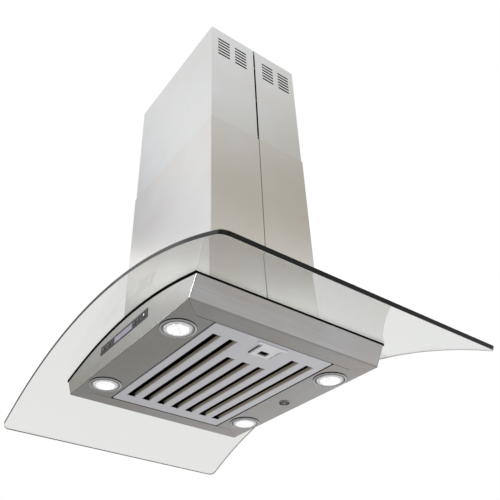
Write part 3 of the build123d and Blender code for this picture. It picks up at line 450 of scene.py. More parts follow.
def key_cap(name, cap, mark, spot, radius, glow):
    """Moulded key cap with a printed dot, which shines where the key is on."""
    material, tree, place = blank_material(name)
    away = add(tree, "ShaderNodeVectorMath", {0: place, 1: spot}, operation="DISTANCE")
    inside = add(
        tree, "ShaderNodeMapRange",
        {"Value": away.outputs["Value"], "From Min": radius, "From Max": 0.7 * radius},
    )
    tone = add(
        tree, "ShaderNodeMix",
        {FACTOR: inside, FIRST: rgba(cap), SECOND: rgba(mark)}, data_type="RGBA",
    )
    shine = add(tree, "ShaderNodeMath", {0: inside, 1: glow}, operation="MULTIPLY")
    close_material(tree, {
        "Base Color": tone.outputs[MIXED],
        "Roughness": 0.35,
        "Specular IOR Level": 0.3,
        "Emission Color": rgba(mark),
        "Emission Strength": shine,
    })
    return material


def coat(piece, *materials):
    """Gives a piece its materials, slot by slot."""
    piece.data.materials.clear()
    for material in materials:
        piece.data.materials.append(material)


def dress(material, *names):
    """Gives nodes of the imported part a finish."""
    for name in names:
        coat(NODES[name], material)


# Modelling helpers


def deselect_all():
    """Leaves no object selected, before a new one is added."""
    bpy.ops.object.select_all(action="DESELECT")


def select_only(piece):
    """Makes a piece the only selected one, and the active one."""
    deselect_all()
    piece.select_set(True)
    bpy.context.view_layer.objects.active = piece


@contextmanager
def edit_mode(piece, select="VERT"):
    """Edit mode on one piece, with its editable mesh."""
    select_only(piece)
    bpy.ops.object.mode_set(mode="EDIT")
    bpy.ops.mesh.select_mode(type=select)
    yield bmesh.from_edit_mesh(piece.data)
    bpy.ops.object.mode_set(mode="OBJECT")


def pick(piece, mesh, elements, test):
    """Selects only the elements that pass a test."""
    for group in (mesh.faces, mesh.edges, mesh.verts):
        for element in group:
            element.select_set(False)
    for element in elements:
        if test(element):
            element.select_set(True)
    bmesh.update_edit_mesh(piece.data)


def middle(edge):
    """Middle point of an edge."""
    return (edge.verts[0].co + edge.verts[1].co) / 2


def apply_modifier(piece, kind, **settings):
    """Adds a modifier and applies it."""
    modifier = piece.modifiers.new(kind.title(), kind)
    for key, value in settings.items():
        setattr(modifier, key, value)
    select_only(piece)
    bpy.ops.object.modifier_apply(modifier=modifier.name)


def outward(piece):
    """Merges doubles and points every face outwards."""
    with edit_mode(piece):
        bpy.ops.mesh.select_all(action="SELECT")
        bpy.ops.mesh.remove_doubles(threshold=0.005 * MM)
        bpy.ops.mesh.normals_make_consistent(inside=False)


def settle(piece):
    """Applies the object's place, turn and size to its mesh."""
    select_only(piece)
    bpy.ops.object.transform_apply(location=True, rotation=True, scale=True)


def smooth(piece, degrees):
    """Shades a piece smooth, apart from edges that turn by more than an angle."""
    select_only(piece)
    bpy.ops.object.shade_smooth_by_angle(angle=math.radians(degrees))


def lathe(name, outline, steps):
    """Turned piece about Z: a circle is extruded and resized from point to point of the outline.

    The outline is in millimetres, each point a radius and a height.
    """
    profile = [(radius * MM, height * MM) for radius, height in outline]
    deselect_all()
    radius, height = profile[0]
    bpy.ops.mesh.primitive_circle_add(vertices=steps, radius=radius, location=(0, 0, height))
    piece = bpy.context.object
    piece.name = name
    settle(piece)
    with edit_mode(piece):
        bpy.ops.mesh.select_all(action="SELECT")
        for next_radius, next_height in profile[1:]:
            ratio = next_radius / radius
            rise = (0, 0, next_height - height)
            bpy.ops.mesh.extrude_region_move(TRANSFORM_OT_translate={"value": rise})
            bpy.ops.transform.resize(value=(ratio, ratio, 1), center_override=(0, 0, next_height))
            radius, height = next_radius, next_height
    outward(piece)
    return piece


def radius_of(face):
    """Distance of a face's middle from the Z axis."""
    return math.hypot(face.center.x, face.center.y)


def assign(piece, slot, test):
    """Gives the faces that pass a test another of the piece's materials."""
    for face in piece.data.polygons:
        if test(face):
            face.material_index = slot


def copy_to(piece, name, place):
    """A copy of a piece with its own mesh, moved to its place."""
    twin = piece.copy()
    twin.data = piece.data.copy()
    twin.name = name
    bpy.context.scene.collection.objects.link(twin)
    twin.data.transform(Matrix.Translation(place))
    return twin


def copy_of_node(node, name):
    """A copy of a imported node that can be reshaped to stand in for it."""
    twin = copy_to(NODES[node], name, (0, 0, 0))
    del twin["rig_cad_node"]
    outward(twin)
    return twin


def drop(piece):
    """Removes a piece that was only a tool or a pattern."""
    bpy.data.objects.remove(piece, do_unlink=True)


def centre(node):
    """Middle of a node's box."""
    low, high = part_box(node)
    return (low + high) / 2


# Pieces


class HOOD_OT_canopy(bpy.types.Operator):
    """Bends the glass canopy, opens it for the chimney and polishes its edges"""

    bl_idname = "hood.canopy"
    bl_label = "Glass canopy"

    # Tilts of the faces of the edge, to either side, and of the ground arris under it
    edge_tilt = 0.1
    arris_tilt = (-0.99, -0.5)
    # Edges that turn by more degrees than these are polished, and stay crisp
    polish_angle = 40
    smooth_angle = 5
    # Height of the tools that cut the openings, in metres
    cutter_height = 1.0
    drill_height = 0.2

    def execute(self, context):
        sizes, colours = context.scene.hood_sizes, context.scene.hood_colours
        low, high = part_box("glass_canopy")
        radius, thick = sizes.glass_radius, sizes.glass_thickness
        arch_z = high.z - thick - radius
        half_angle = math.asin(high.x / (radius + thick))
        depth = high.y - low.y

        pane = self.half_arch(arch_z, radius, thick, depth, half_angle, sizes.glass_steps)
        self.round_corners(pane, sizes.glass_corner)
        apply_modifier(pane, "MIRROR", merge_threshold=0.01 * MM)
        self.cut_openings(pane, sizes)
        outward(pane)
        apply_modifier(
            pane, "BEVEL", width=sizes.glass_polish, segments=3,
            limit_method="ANGLE", angle_limit=math.radians(self.polish_angle),
        )
        smooth(pane, self.smooth_angle)

        coat(
            pane,
            canopy_glass("clear float glass", colours.glass_tint, sizes.glass_density),
            painted_glass_edge("polished glass edge", colours.painted_glass_edge),
            painted_glass_edge("polished glass edge in painted light", colours.painted_lit_edge),
            matt_finish("ground glass arris", colours.arris_frost_and_highlight, roughness=0.6, gloss=0.3),
        )
        axis = Vector((0, 0, arch_z))
        inner, outer = self.arris_tilt
        # The front and right edges take the painted dark finish, the left and rear the painted light one
        for slot, side in ((1, 1), (2, -1)):
            assign(
                pane, slot,
                lambda face: abs(self.tilt(face, axis)) < self.edge_tilt
                and side * (face.normal.x - face.normal.y) > 0,
            )
        assign(pane, 3, lambda face: inner < self.tilt(face, axis) < outer)
        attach(pane, "hood")
        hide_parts("glass_canopy")
        return {"FINISHED"}

    def tilt(self, face, axis):
        """How far a face looks away from the arch's axis.

        It is 1 on the sheet's top, 0 on its edges and -1 on its underside.
        """
        spoke = (face.center - axis) * Vector((1, 0, 1))
        return face.normal.dot(spoke.normalized())

    def half_arch(self, arch_z, radius, thick, depth, half_angle, steps):
        """Right half of the pane: its section at the crown, spun about the arch's axis."""
        deselect_all()
        bpy.ops.mesh.primitive_plane_add(
            size=1, location=(0, 0, arch_z + radius + thick / 2), rotation=(0, math.pi / 2, 0)
        )
        pane = bpy.context.object
        pane.name = "glass_pane"
        pane.scale = (thick, depth, 1)
        settle(pane)
        with edit_mode(pane, "EDGE"):
            bpy.ops.mesh.select_all(action="SELECT")
            bpy.ops.mesh.delete(type="ONLY_FACE")
        with edit_mode(pane, "EDGE"):
            bpy.ops.mesh.select_all(action="SELECT")
            bpy.ops.mesh.spin(steps=steps, angle=half_angle, center=(0, 0, arch_z), axis=(0, -1, 0))
        end = max(vertex.co.x for vertex in pane.data.vertices) - thick
        if end < thick:
            raise RuntimeError("the glass was spun to the wrong side")
        with edit_mode(pane, "EDGE") as mesh:
            pick(pane, mesh, mesh.edges, lambda edge: edge.is_boundary and middle(edge).x > end)
            bpy.ops.mesh.edge_face_add()
        return pane

    def round_corners(self, pane, corner):
        """Rounds the two corners of the pane's end."""
        reach_x = max(vertex.co.x for vertex in pane.data.vertices) - corner
        reach_y = max(vertex.co.y for vertex in pane.data.vertices) - corner
        with edit_mode(pane, "EDGE") as mesh:
            pick(
                pane, mesh, mesh.edges,
                lambda edge: middle(edge).x > reach_x and abs(middle(edge).y) > reach_y
                and abs(edge.verts[0].co.y - edge.verts[1].co.y) < CLOSE
                and edge.calc_length() < corner,
            )
            bpy.ops.mesh.bevel(offset=corner, segments=10, affect="EDGES")

    def cut_openings(self, pane, sizes):
        """Opening for the blower box and the four stud holes."""
        low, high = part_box("blower_box")
        gap = sizes.opening_gap
        deselect_all()
        bpy.ops.mesh.primitive_cube_add(size=1, location=(0, 0, high.z))
        cutter = bpy.context.object
        cutter.scale = (high.x - low.x + 2 * gap, high.y - low.y + 2 * gap, self.cutter_height)
        settle(cutter)
        with edit_mode(cutter, "EDGE") as mesh:
            pick(
                cutter, mesh, mesh.edges,
                lambda edge: abs(edge.verts[0].co.z - edge.verts[1].co.z) > self.cutter_height / 2,
            )
            bpy.ops.mesh.bevel(offset=sizes.opening_corner, segments=6, affect="EDGES")
        self.cut(pane, cutter)

        low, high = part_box("stud_bushes")
        height = centre("stud_bushes").z
        inset = sizes.bush_radius
        for x in (low.x + inset, high.x - inset):
            for y in (low.y + inset, high.y - inset):
                deselect_all()
                bpy.ops.mesh.primitive_cylinder_add(
                    vertices=24, radius=sizes.stud_hole, depth=self.drill_height, location=(x, y, height)
                )
                self.cut(pane, bpy.context.object)

    def cut(self, pane, cutter):
        """Cuts a tool out of the pane and removes the tool."""
        apply_modifier(pane, "BOOLEAN", operation="DIFFERENCE", object=cutter, solver="EXACT")
        drop(cutter)


class HOOD_OT_seal(bpy.types.Operator):
    """Gives the seal under the glass its lip over the walls' top edge"""

    bl_idname = "hood.seal"
    bl_label = "Seal"

    # A face looks down if its normal falls below this
    downward = -0.7

    def execute(self, context):
        sizes, colours = context.scene.hood_sizes, context.scene.hood_colours
        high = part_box("glass_seal")[1]
        # Faces this close to the seal's outside count as lying there
        hair = 0.2 * MM
        seal = copy_of_node("glass_seal", "seal_lip")
        with edit_mode(seal, "FACE") as mesh:
            pick(seal, mesh, mesh.faces, lambda face: self.outside(face, high.x - hair, high.y - hair))
            for step in (sizes.lip_stand, sizes.lip_thickness):
                bpy.ops.mesh.extrude_region_shrink_fatten(
                    TRANSFORM_OT_shrink_fatten={"value": step, "use_even_offset": True}
                )
        with edit_mode(seal, "FACE") as mesh:
            reach = high.y + sizes.lip_stand
            pick(
                seal, mesh, mesh.faces,
                lambda face: self.outside(face, math.inf, reach) and face.normal.z < self.downward,
            )
            bpy.ops.mesh.extrude_region_move(TRANSFORM_OT_translate={"value": (0, 0, -sizes.lip_drop)})
        outward(seal)
        smooth(seal, degrees=30)
        rubber = matt_finish("black seal rubber", colours.seal, roughness=0.7, gloss=0.05)
        coat(seal, rubber)
        dress(rubber, "stud_bushes")
        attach(seal, "hood")
        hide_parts("glass_seal")
        return {"FINISHED"}

    def outside(self, face, reach_x, reach_y):
        """Whether a face lies past these distances from the middle."""
        spot = face.calc_center_median()
        return abs(spot.x) > reach_x or abs(spot.y) > reach_y


class HOOD_OT_lamps(bpy.types.Operator):
    """Turns the lamp rings and their prismatic lenses"""

    bl_idname = "hood.lamps"
    bl_label = "Lamps"

    count = 4
    # Outlines in millimetres, radius and height, from the middle of the lamp at the strip's underside
    ring_profile = (
        (27.0, 6.0), (27.0, -2.2), (27.5, -2.8), (28.4, -2.8), (28.9, -2.2), (28.9, -1.0), (30.2, -1.0),
        (30.2, -2.1), (30.7, -2.5), (33.8, -1.9), (34.7, -1.3), (35.0, -0.6), (35.0, 0.0), (28.0, 0.0),
        (28.0, 6.0), (27.0, 6.0),
    )
    lens_profile = (
        (26.4, 1.6), (26.4, -1.8), (24.6, -2.6), (20.8, -3.2), (16.2, -3.8), (11.2, -4.3), (5.8, -4.6),
    )
    # Radii of the ring's turned groove and of its outer edge in shade, and how far the ring hangs
    groove = (28.7, 30.4)
    dark_edge = 34.3
    hang = 2.6
    # Radius of the lens's bright middle, and the glow of its middle and its rim
    bright_radius = 20
    glow = 1.15
    rim_glow = 0.72

    def execute(self, context):
        sizes, colours = context.scene.hood_sizes, context.scene.hood_colours
        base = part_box("lamp_ring_1")[0].z + self.hang * MM
        ring = lathe("lamp_trim", self.ring_profile, sizes.lathe_steps)
        smooth(ring, degrees=35)
        coat(
            ring,
            satin_metal("satin chrome on steel", colours.ring_metal, roughness=0.25),
            matt_finish("groove in shade", colours.groove, roughness=0.7, gloss=0.1),
        )
        inner, outer = (radius * MM for radius in self.groove)
        edge = self.dark_edge * MM
        assign(ring, 1, lambda face: inner < radius_of(face) < outer or radius_of(face) > edge)
        lens = self.lens(sizes.facet_steps)
        coat(
            lens,
            lit_lens("lit prismatic lens", colours.lens, self.glow),
            lit_lens("prismatic lens rim", colours.lens_rim, self.rim_glow),
        )
        assign(lens, 1, lambda face: radius_of(face) > self.bright_radius * MM)
        for number in range(1, self.count + 1):
            spot = centre(f"lamp_ring_{number}")
            place = Vector((spot.x, spot.y, base))
            for piece, kind, slot in ((ring, "ring", "ring_steel"), (lens, "lens", "lens_frosted")):
                twin = copy_to(piece, f"{piece.name}_{number}", place)
                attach(twin, "hood")
                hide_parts(f"lamp_{kind}_{number}")
        drop(ring)
        drop(lens)
        dress(satin_metal("die cast aluminium", colours.bare_aluminium, roughness=0.45), "lamp_cans")
        dress(matt_finish("white polycarbonate", colours.white_plastic, roughness=0.45), "lamp_driver")
        return {"FINISHED"}

    def lens(self, steps):
        """Domed lens whose rings are turned half a step, so that its facets are triangles."""
        lens = lathe("lamp_glass", self.lens_profile, steps)
        levels = [height * MM for _, height in self.lens_profile]
        half_step = math.pi / steps
        for level in levels[2::2]:
            with edit_mode(lens) as mesh:
                pick(lens, mesh, mesh.verts, lambda vertex: abs(vertex.co.z - level) < CLOSE)
                bpy.ops.transform.rotate(value=half_step, orient_axis="Z", center_override=(0, 0, level))
        with edit_mode(lens, "EDGE") as mesh:
            for level in (levels[0], levels[-1]):
                pick(
                    lens, mesh, mesh.edges,
                    lambda edge: edge.is_boundary and abs(middle(edge).z - level) < CLOSE,
                )
                bpy.ops.mesh.edge_face_add()
            bpy.ops.mesh.select_all(action="SELECT")
            bpy.ops.mesh.quads_convert_to_tris(quad_method="SHORTEST_DIAGONAL")
        outward(lens)
        return lens


class HOOD_OT_covers(bpy.types.Operator):
    """Finishes the chimney covers, upright grain"""

    bl_idname = "hood.covers"
    bl_label = "Chimney covers"

    # Where the shade of each seam sets in and where it is full, in millimetres from the middle
    open_seam = (8, 7)
    closed_seam = (1.3, 0.8)
    # The same for the depth under the upper cover's skin
    skin = (0.2, 0.5)

    def execute(self, context):
        colours = context.scene.hood_colours
        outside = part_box("upper_cover_front")[1].x
        inside = "X", *[outside - depth * MM for depth in self.skin]
        for cover, steel, shade, seam, *limits in (
            ("upper", colours.upper_steel, colours.seam_shade, self.open_seam, inside),
            ("lower", colours.lower_steel, colours.closed_seam_shade, self.closed_seam),
        ):
            edge = "Y", *[reach * MM for reach in seam]
            finish = brushed_steel(
                f"brushed stainless {cover} cover", steel, grain="Z", line=1.3 * MM, depth=0.03, mottle=1.0,
                shades=[(shade, edge, *limits)],
            )
            dress(finish, f"{cover}_cover_front", f"{cover}_cover_back")
        dress(satin_metal("zinc plated steel", colours.zinc, roughness=0.35), "upper_cover_screws")
        return {"FINISHED"}


class HOOD_OT_body(bpy.types.Operator):
    """Finishes the folded body and turns its plug"""

    bl_idname = "hood.body"
    bl_label = "Body"

    # How far the shade of the lips reaches past the filter, and how softly it ends, in millimetres
    front_lip = 3.8
    other_lip = 3.2
    lip_fade = 0.8
    # Heights above the body's base, in millimetres, where the strips' painted shade sets in and is full
    strip_shade_rise = (3, 1)
    # The plug's outline in millimetres, radius and height from the strip's underside
    plug_profile = (
        (10.0, 3.0), (10.0, 0.0), (12.5, 0.0), (12.5, -0.9), (11.9, -1.5), (11.1, -1.5), (10.9, -0.7),
        (7.6, -0.7), (7.4, -1.5), (6.2, -1.5), (6.0, -0.7), (3.4, -0.7), (3.2, -1.5), (0.4, -1.5),
    )
    # How far the plug hangs, and the heights and the radius within which the floors of its grooves lie
    hang = 1.5
    groove_floor = (-1.2, -0.5)
    groove_radius = 11.2

    def execute(self, context):
        sizes, colours = context.scene.hood_sizes, context.scene.hood_colours
        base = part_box("front_panel")[0].z
        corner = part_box("filter_plate")[1]
        rise = [-base - height * MM for height in self.strip_shade_rise]
        for panel, grain, axis, edge, painted_shade, lip_reach in (
            ("front_panel", "X", "Y", corner.y, colours.front_strip_painted_shade, self.front_lip),
            ("rear_panel", "X", "Y", corner.y, colours.strip_painted_shade, self.other_lip),
            ("left_end_panel", "Y", "X", corner.x, colours.strip_painted_shade, self.other_lip),
            ("right_end_panel", "Y", "X", corner.x, colours.strip_painted_shade, self.other_lip),
        ):
            lip_end = edge + lip_reach * MM
            # Painted shade: the strips at the body's base take the darker steel, and the lips by the filter
            # the groove's dark
            strip = painted_shade, ("Z", *rise)
            lip = colours.groove, (axis, lip_end, lip_end - self.lip_fade * MM)
            steel = brushed_steel(
                f"brushed stainless {panel.replace('_', ' ')}", colours.body_steel, grain,
                line=2.4 * MM, depth=0.26, mottle=2.0, shades=[strip, lip],
            )
            dress(steel, panel)

        plug = lathe("strip_plug", self.plug_profile, sizes.lathe_steps)
        smooth(plug, degrees=30)
        coat(
            plug,
            # The plug takes the strips' painted shade as its colour
            satin_metal("satin steel plug", colours.strip_painted_shade, roughness=0.3),
            matt_finish("groove in shade", colours.groove, roughness=0.7, gloss=0.1),
        )
        low, high = (height * MM for height in self.groove_floor)
        assign(
            plug, 1,
            lambda face: low < face.center.z < high and radius_of(face) < self.groove_radius * MM,
        )
        spot = centre("panel_plug")
        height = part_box("panel_plug")[0].z + self.hang * MM
        plug.data.transform(Matrix.Translation((spot.x, spot.y, height)))
        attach(plug, "hood")
        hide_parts("panel_plug")
        return {"FINISHED"}


class HOOD_OT_filter(bpy.types.Operator):
    """Finishes the baffle filter and its latch"""

    bl_idname = "hood.filter"
    bl_label = "Filter"

    # Middle and half width, in millimetres, of the shadow beside each rib, along it and across it
    rib_along = (161.5, 17.0)
    rib_across = (26.1, 0.85)
    # Width of the plain rim round the slots, in millimetres
    rim = 6

    def execute(self, context):
        colours = context.scene.hood_colours
        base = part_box("front_panel")[0].z
        ribs = [(spot * MM, half * MM) for spot, half in (self.rib_along, self.rib_across)]
        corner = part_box("filter_plate")[1]
        field = corner.x - self.rim * MM, corner.y - self.rim * MM
        for node, finish, face, shade in (
            ("filter_plate", "satin anodised aluminium", colours.filter_metal, colours.fold_shade),
            ("filter_latch", "satin steel latch", colours.latch_metal, colours.cup_shade),
        ):
            dress(filter_sheet(finish, face, shade, base, field, ribs, colours.groove), node)
        channel = satin_metal(
            "mill finish aluminium channel", colours.bare_aluminium,
            roughness=0.5, shade=colours.baffle_shade,
        )
        dress(channel, "filter_baffles", "latch_housing")
        self.spring(satin_metal("spring steel", colours.zinc, roughness=0.3))
        return {"FINISHED"}

    def spring(self, steel):
        """Folded leaf spring behind the latch, given a mesh of its own; it rides with the filter."""
        leaf = copy_of_node("latch_spring", "leaf_spring")
        smooth(leaf, degrees=30)
        coat(leaf, steel)
        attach(leaf, "filter")
        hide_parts("latch_spring")
        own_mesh(leaf)


class HOOD_OT_controls(bpy.types.Operator):
    """Finishes the control strip, its display and its keys"""

    bl_idname = "hood.controls"
    bl_label = "Controls"

    # Radius of each key's dot in millimetres, and the glow of the last one, which is on
    dots = (3.0, 2.2, 2.4, 3.0, 2.6)
    glow = 1.2

    def execute(self, context):
        colours = context.scene.hood_colours
        smoked = gloss_panel("smoked acrylic fascia", colours.fascia, gloss=0.45, roughness=0.2)
        dress(smoked, "control_fascia")
        dress(gloss_panel("liquid crystal display", colours.display), "display_window")
        dress(gloss_panel("lacquered board", colours.board, roughness=0.3), "control_board")
        for number, dot in enumerate(self.dots, start=1):
            low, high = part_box(f"key_{number}")
            spot = ((low.x + high.x) / 2, low.y, (low.z + high.z) / 2)
            lit = number == len(self.dots)
            mark = colours.key_light if lit else colours.key_mark
            glow = self.glow if lit else 0.0
            dress(key_cap(f"key cap {number}", colours.key, mark, spot, dot * MM, glow), f"key_{number}")
        return {"FINISHED"}


class HOOD_OT_inside(bpy.types.Operator):
    """Finishes the frame, the blower and the rest of the inside"""

    bl_idname = "hood.inside"
    bl_label = "Inside"

    def execute(self, context):
        colours = context.scene.hood_colours
        sheet = galvanised_steel("galvanised sheet", colours.galvanised)
        dress(
            sheet, "ceiling_bracket", "upper_uprights", "lower_uprights", "blower_box", "top_deck",
            "scroll_wrap", "scroll_side_left", "scroll_side_right", "outlet_transition", "outlet_collar",
            "motor_bracket",
        )
        bolts = satin_metal("zinc plated bolts", colours.zinc, roughness=0.35)
        dress(bolts, "frame_bolts", "stud_nuts", "damper_pin")
        dress(satin_metal("ground steel shaft", colours.zinc, roughness=0.2), "motor_shaft")
        aluminium = satin_metal("mill finish aluminium", colours.bare_aluminium, roughness=0.38)
        dress(aluminium, *IMPELLER, "damper_flap_front", "damper_flap_rear")
        dress(matt_finish("satin black motor paint", colours.motor_paint, roughness=0.35), "motor")
        housing = matt_finish("black polyamide", colours.black_plastic, roughness=0.5)
        dress(housing, "terminal_box", "cable_gland")
        can = matt_finish("white polypropylene", colours.white_plastic, roughness=0.4)
        dress(can, "motor_capacitor")
        return {"FINISHED"}


# Studio


class HOOD_OT_stage(bpy.types.Operator):
    """Sets the studio: camera, floor, ceiling patch, sky and lamps"""

    bl_idname = "hood.stage"
    bl_label = "Studio"

    # The photograph's camera: its place in metres, its turn in degrees, and its lens in pixels
    camera_place = (1.00192, -0.6974, -1.48172)
    azimuth, elevation, roll = 57.69, -35.43, 1.39
    focal_pixels, principal, picture = 632.96, (193.02, 265.38), 500
    # How far the floor lies under the filter and how wide it is, in metres, and its lift towards white
    floor_drop = 1.65
    floor_width = 16
    floor_glow = 0.42
    # Light of the room's walls: heights, from 0 at the horizon to 1 overhead, each with its colour
    front_foot = ((0.0, "#BAB8B4"), (0.42, "#B8B5AF"), (0.48, "#D6D5D4"), (0.52, "#EAEAEA"))
    cool_wall = (
        *front_foot, (0.55, "#F8F8F8"), (0.585, "#C6C6C6"), (0.625, "#B2B2B4"), (0.65, "#BABABE"),
        (0.72, "#DADADC"), (0.8, "#EAEAEA"),
    )
    bright_wall = (
        *front_foot, (0.55, "#FFFFFF"), (0.585, "#FFFFFF"), (0.63, "#F9F9FE"), (0.68, "#FFFFFF"),
        (0.74, "#FFFFFF"), (0.8, "#F0F0F0"),
    )
    far_wall = ((0.0, "#F4F5F6"), (0.3, "#F4F5F6"), (0.5, "#D4D3D3"), (0.7, "#FFFFFF"))
    right_top = ((0.75, "#DCDBD9"), (0.8, "#ECECEC"), (0.92, "#F6F6F6"))
    warm_wall = (
        (0.5, "#FFFFFF"), (0.55, "#FFFFFC"), (0.59, "#E4E2DA"), (0.63, "#BCB5A9"), (0.69, "#BFBAB0"),
        *right_top,
    )
    corner_wall = (
        (0.5, "#FFFFFF"), (0.54, "#FFFFFC"), (0.565, "#C4C2BA"), (0.6, "#ACA599"), (0.63, "#B2AB9F"),
        (0.69, "#BBB6AC"), *right_top,
    )

    def execute(self, context):
        self.camera(context)
        self.floor(context)
        self.ceiling(context)
        self.sky(context)
        self.lamps()
        context.scene.view_settings.view_transform = "Standard"
        return {"FINISHED"}

    def camera(self, context):
        """The camera of the photograph."""
        data = bpy.data.cameras.new("photo_camera")
        camera = bpy.data.objects.new("photo_camera", data)
        context.scene.collection.objects.link(camera)
        turns = self.azimuth, self.elevation, self.roll
        azimuth, elevation, roll = (math.radians(degrees) for degrees in turns)
        back = Vector((
            math.sin(azimuth) * math.cos(elevation),
            -math.cos(azimuth) * math.cos(elevation),
            math.sin(elevation),
        ))
        level = Vector((-back.y, back.x, 0)).normalized()
        upright = back.cross(level)
        right = math.cos(roll) * level + math.sin(roll) * upright
        up = back.cross(right)
        turn = Matrix((right, up, back)).transposed().to_4x4()
        camera.matrix_world = Matrix.Translation(self.camera_place) @ turn
        data.sensor_width = 36
        data.lens = self.focal_pixels / self.picture * data.sensor_width
        data.shift_x = (self.picture / 2 - self.principal[0]) / self.picture
        data.shift_y = (self.principal[1] - self.picture / 2) / self.picture
        data.clip_start = 10 * MM
        context.scene.camera = camera

    def floor(self, context):
        """Pale floor, clear from below."""
        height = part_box("filter_plate")[0].z - self.floor_drop
        deselect_all()
        bpy.ops.mesh.primitive_plane_add(size=self.floor_width, location=(0, 0, height))
        floor = bpy.context.object
        floor.name = "studio_floor"
        material, tree, _ = blank_material("pale studio paint")
        paint = rgba(context.scene.hood_colours.floor)
        matt = add(tree, "ShaderNodeBsdfPrincipled", {"Base Color": paint, "Roughness": 0.9})
        pale = add(tree, "ShaderNodeBsdfPrincipled", {
            "Base Color": paint,
            "Roughness": 0.9,
            "Emission Color": (1, 1, 1, 1),
            "Emission Strength": self.floor_glow,
        })
        top = add(tree, "ShaderNodeMixShader", {0: self.seen(tree), 1: matt, 2: pale})
        below = add(tree, "ShaderNodeNewGeometry").outputs["Backfacing"]
        clear = add(tree, "ShaderNodeBsdfTransparent")
        look = add(tree, "ShaderNodeMixShader", {0: below, 1: top, 2: clear})
        add(tree, "ShaderNodeOutputMaterial", {"Surface": look})
        coat(floor, material)

    def seen(self, tree):
        """1 for what the eye sees, straight or through the glass, and 0 for light and reflections."""
        path = add(tree, "ShaderNodeLightPath")
        bounces = path.outputs["Glossy Depth"]
        direct = add(tree, "ShaderNodeMath", {0: bounces, 1: 0.5}, operation="LESS_THAN")
        through = add(
            tree, "ShaderNodeMath",
            {0: path.outputs["Is Transmission Ray"], 1: direct}, operation="MULTIPLY",
        )
        straight = path.outputs["Is Camera Ray"]
        return add(tree, "ShaderNodeMath", {0: straight, 1: through}, operation="MAXIMUM")

    def ceiling(self, context):
        """Dark patch at the chimney's top: painted shade that only the eye sees from below, through the seam
        and the vents, and that light passes.
        """
        low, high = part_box("upper_cover_front")
        margin = 2 * MM
        deselect_all()
        bpy.ops.mesh.primitive_plane_add(size=2, location=(0, 0, high.z + margin / 2))
        patch = bpy.context.object
        patch.name = "ceiling_shade_patch"
        patch.scale = (high.x - margin, -low.y - margin, 1)
        settle(patch)
        material, tree, _ = blank_material("ceiling in shade")
        below = add(tree, "ShaderNodeNewGeometry").outputs["Backfacing"]
        paint = rgba(context.scene.hood_colours.ceiling)
        shade = add(tree, "ShaderNodeBsdfPrincipled", {"Base Color": paint, "Roughness": 0.9})
        clear = add(tree, "ShaderNodeBsdfTransparent")
        under = add(tree, "ShaderNodeMath", {0: below, 1: self.seen(tree)}, operation="MULTIPLY")
        look = add(tree, "ShaderNodeMixShader", {0: under, 1: clear, 2: shade})
        add(tree, "ShaderNodeOutputMaterial", {"Surface": look})
        coat(patch, material)

    def sky(self, context):
        """White to the eye, and a soft room of five cool and warm walls to the object."""
        world = bpy.data.worlds.new("studio")
        context.scene.world = world
        world.use_nodes = True
        tree = world.node_tree
        tree.nodes.clear()
        direction = add(tree, "ShaderNodeTexCoord").outputs["Generated"]
        height = add(tree, "ShaderNodeSeparateXYZ", {"Vector": direction}).outputs["Z"]
        walls = self.cool_wall, self.bright_wall, self.far_wall, self.warm_wall, self.corner_wall
        cool, bright, far, warm, corner = (self.wall(tree, height, levels) for levels in walls)
        front = self.join(tree, direction, cool, bright, toward=(0.489, -0.872, 0), start=-0.07, end=0.03)
        left = self.join(tree, direction, front, far, toward=(0, 1, 0), start=0.0, end=0.4)
        right = self.join(tree, direction, warm, corner, toward=(-0.707, 0.707, 0), start=-0.07, end=0.0)
        room = self.join(tree, direction, left, right, toward=(1, 0, 0), start=-0.35, end=0.45)
        light = add(tree, "ShaderNodeBackground", {"Color": room, "Strength": 1.0})
        white = add(tree, "ShaderNodeBackground", {"Color": (1, 1, 1, 1), "Strength": 1.0})
        mixed = add(tree, "ShaderNodeMixShader", {0: self.seen(tree), 1: light, 2: white})
        add(tree, "ShaderNodeOutputWorld", {"Surface": mixed})

    def join(self, tree, direction, near, far, toward, start, end):
        """Light that goes over from one wall to the next, as one looks further toward a side."""
        turned = add(tree, "ShaderNodeVectorMath", {0: direction, 1: toward}, operation="DOT_PRODUCT")
        share = add(
            tree, "ShaderNodeMapRange",
            {"Value": turned.outputs["Value"], "From Min": start, "From Max": end},
            interpolation_type="SMOOTHSTEP",
        )
        both = add(tree, "ShaderNodeMix", {FACTOR: share, FIRST: near, SECOND: far}, data_type="RGBA")
        return both.outputs[MIXED]

    def wall(self, tree, height, levels):
        """Light of one side of the room, level by level from the horizon up."""
        ramp = add(tree, "ShaderNodeValToRGB", {"Fac": height})
        elements = ramp.color_ramp.elements
        elements.remove(elements[0])
        elements[0].position = 1.0
        elements[0].color = rgba(linear(levels[-1][1]))
        for level, code in levels:
            elements.new(level).color = rgba(linear(code))
        return ramp.outputs["Color"]

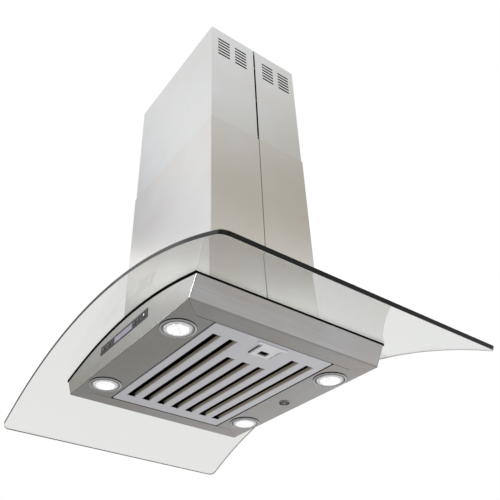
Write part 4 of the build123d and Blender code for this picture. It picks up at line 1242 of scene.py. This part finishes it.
    def lamps(self):
        """Soft lamps. Those for the folds are flagged, so that they reach only the front panel.

        Each has its place, the point it aims at and its size in metres, and its power in watts.
        """
        folds = bpy.data.collections.new("folded_edges")
        folds.objects.link(NODES["front_panel"])
        for name, place, aim, size, power, reach in (
            ("fold_light", (1.57, -2.3, -1.35), (0.25, -0.22, -0.9), (0.6, 0.6), 11, folds),
            ("edge_light", (-2.0, -2.14, -1.2), (0.2, -0.22, -0.91), (0.5, 0.5), 7, folds),
            ("chimney_light", (-2.03, -1.44, 0.95), (0.05, -0.17, -0.72), (0.9, 0.28), 0.46, None),
            ("side_light", (2.02, 1.72, 0.72), (0.15, 0.05, -0.78), (0.9, 0.24), 0.4, None),
            ("floor_light", (-0.8, 3.4, -1.1), (-0.8, 3.4, -2.6), (8.0, 0.8), 69, None),
        ):
            data = bpy.data.lights.new(name, "AREA")
            data.shape = "RECTANGLE"
            data.size, data.size_y = size
            data.energy = power
            light = bpy.data.objects.new(name, data)
            bpy.context.scene.collection.objects.link(light)
            direction = Vector(aim) - Vector(place)
            light.rotation_euler = direction.to_track_quat("-Z", "Y").to_euler()
            light.location = place
            light.light_linking.receiver_collection = reach


# Sidebar, registration and run


class HOOD_PT_sidebar(bpy.types.Panel):
    """Lists the steps of the dressing"""

    bl_label = "Island hood"
    bl_idname = "HOOD_PT_sidebar"
    bl_space_type = "VIEW_3D"
    bl_region_type = "UI"
    bl_category = "Hood"

    def draw(self, context):
        for step in STEPS:
            self.layout.operator(step.bl_idname)


STEPS = (
    HOOD_OT_stage, HOOD_OT_covers, HOOD_OT_body, HOOD_OT_canopy, HOOD_OT_seal, HOOD_OT_lamps,
    HOOD_OT_filter, HOOD_OT_controls, HOOD_OT_inside,
)
CLASSES = (HoodSizes, HoodColours, *STEPS, HOOD_PT_sidebar)


def register():
    for kind in CLASSES:
        bpy.utils.register_class(kind)
    bpy.types.Scene.hood_sizes = PointerProperty(type=HoodSizes)
    bpy.types.Scene.hood_colours = PointerProperty(type=HoodColours)


def unregister():
    del bpy.types.Scene.hood_colours
    del bpy.types.Scene.hood_sizes
    for kind in reversed(CLASSES):
        bpy.utils.unregister_class(kind)


def main():
    register()
    for step in STEPS:
        family, action = step.bl_idname.split(".")
        getattr(getattr(bpy.ops, family), action)()


if __name__ == "__main__":
    main()
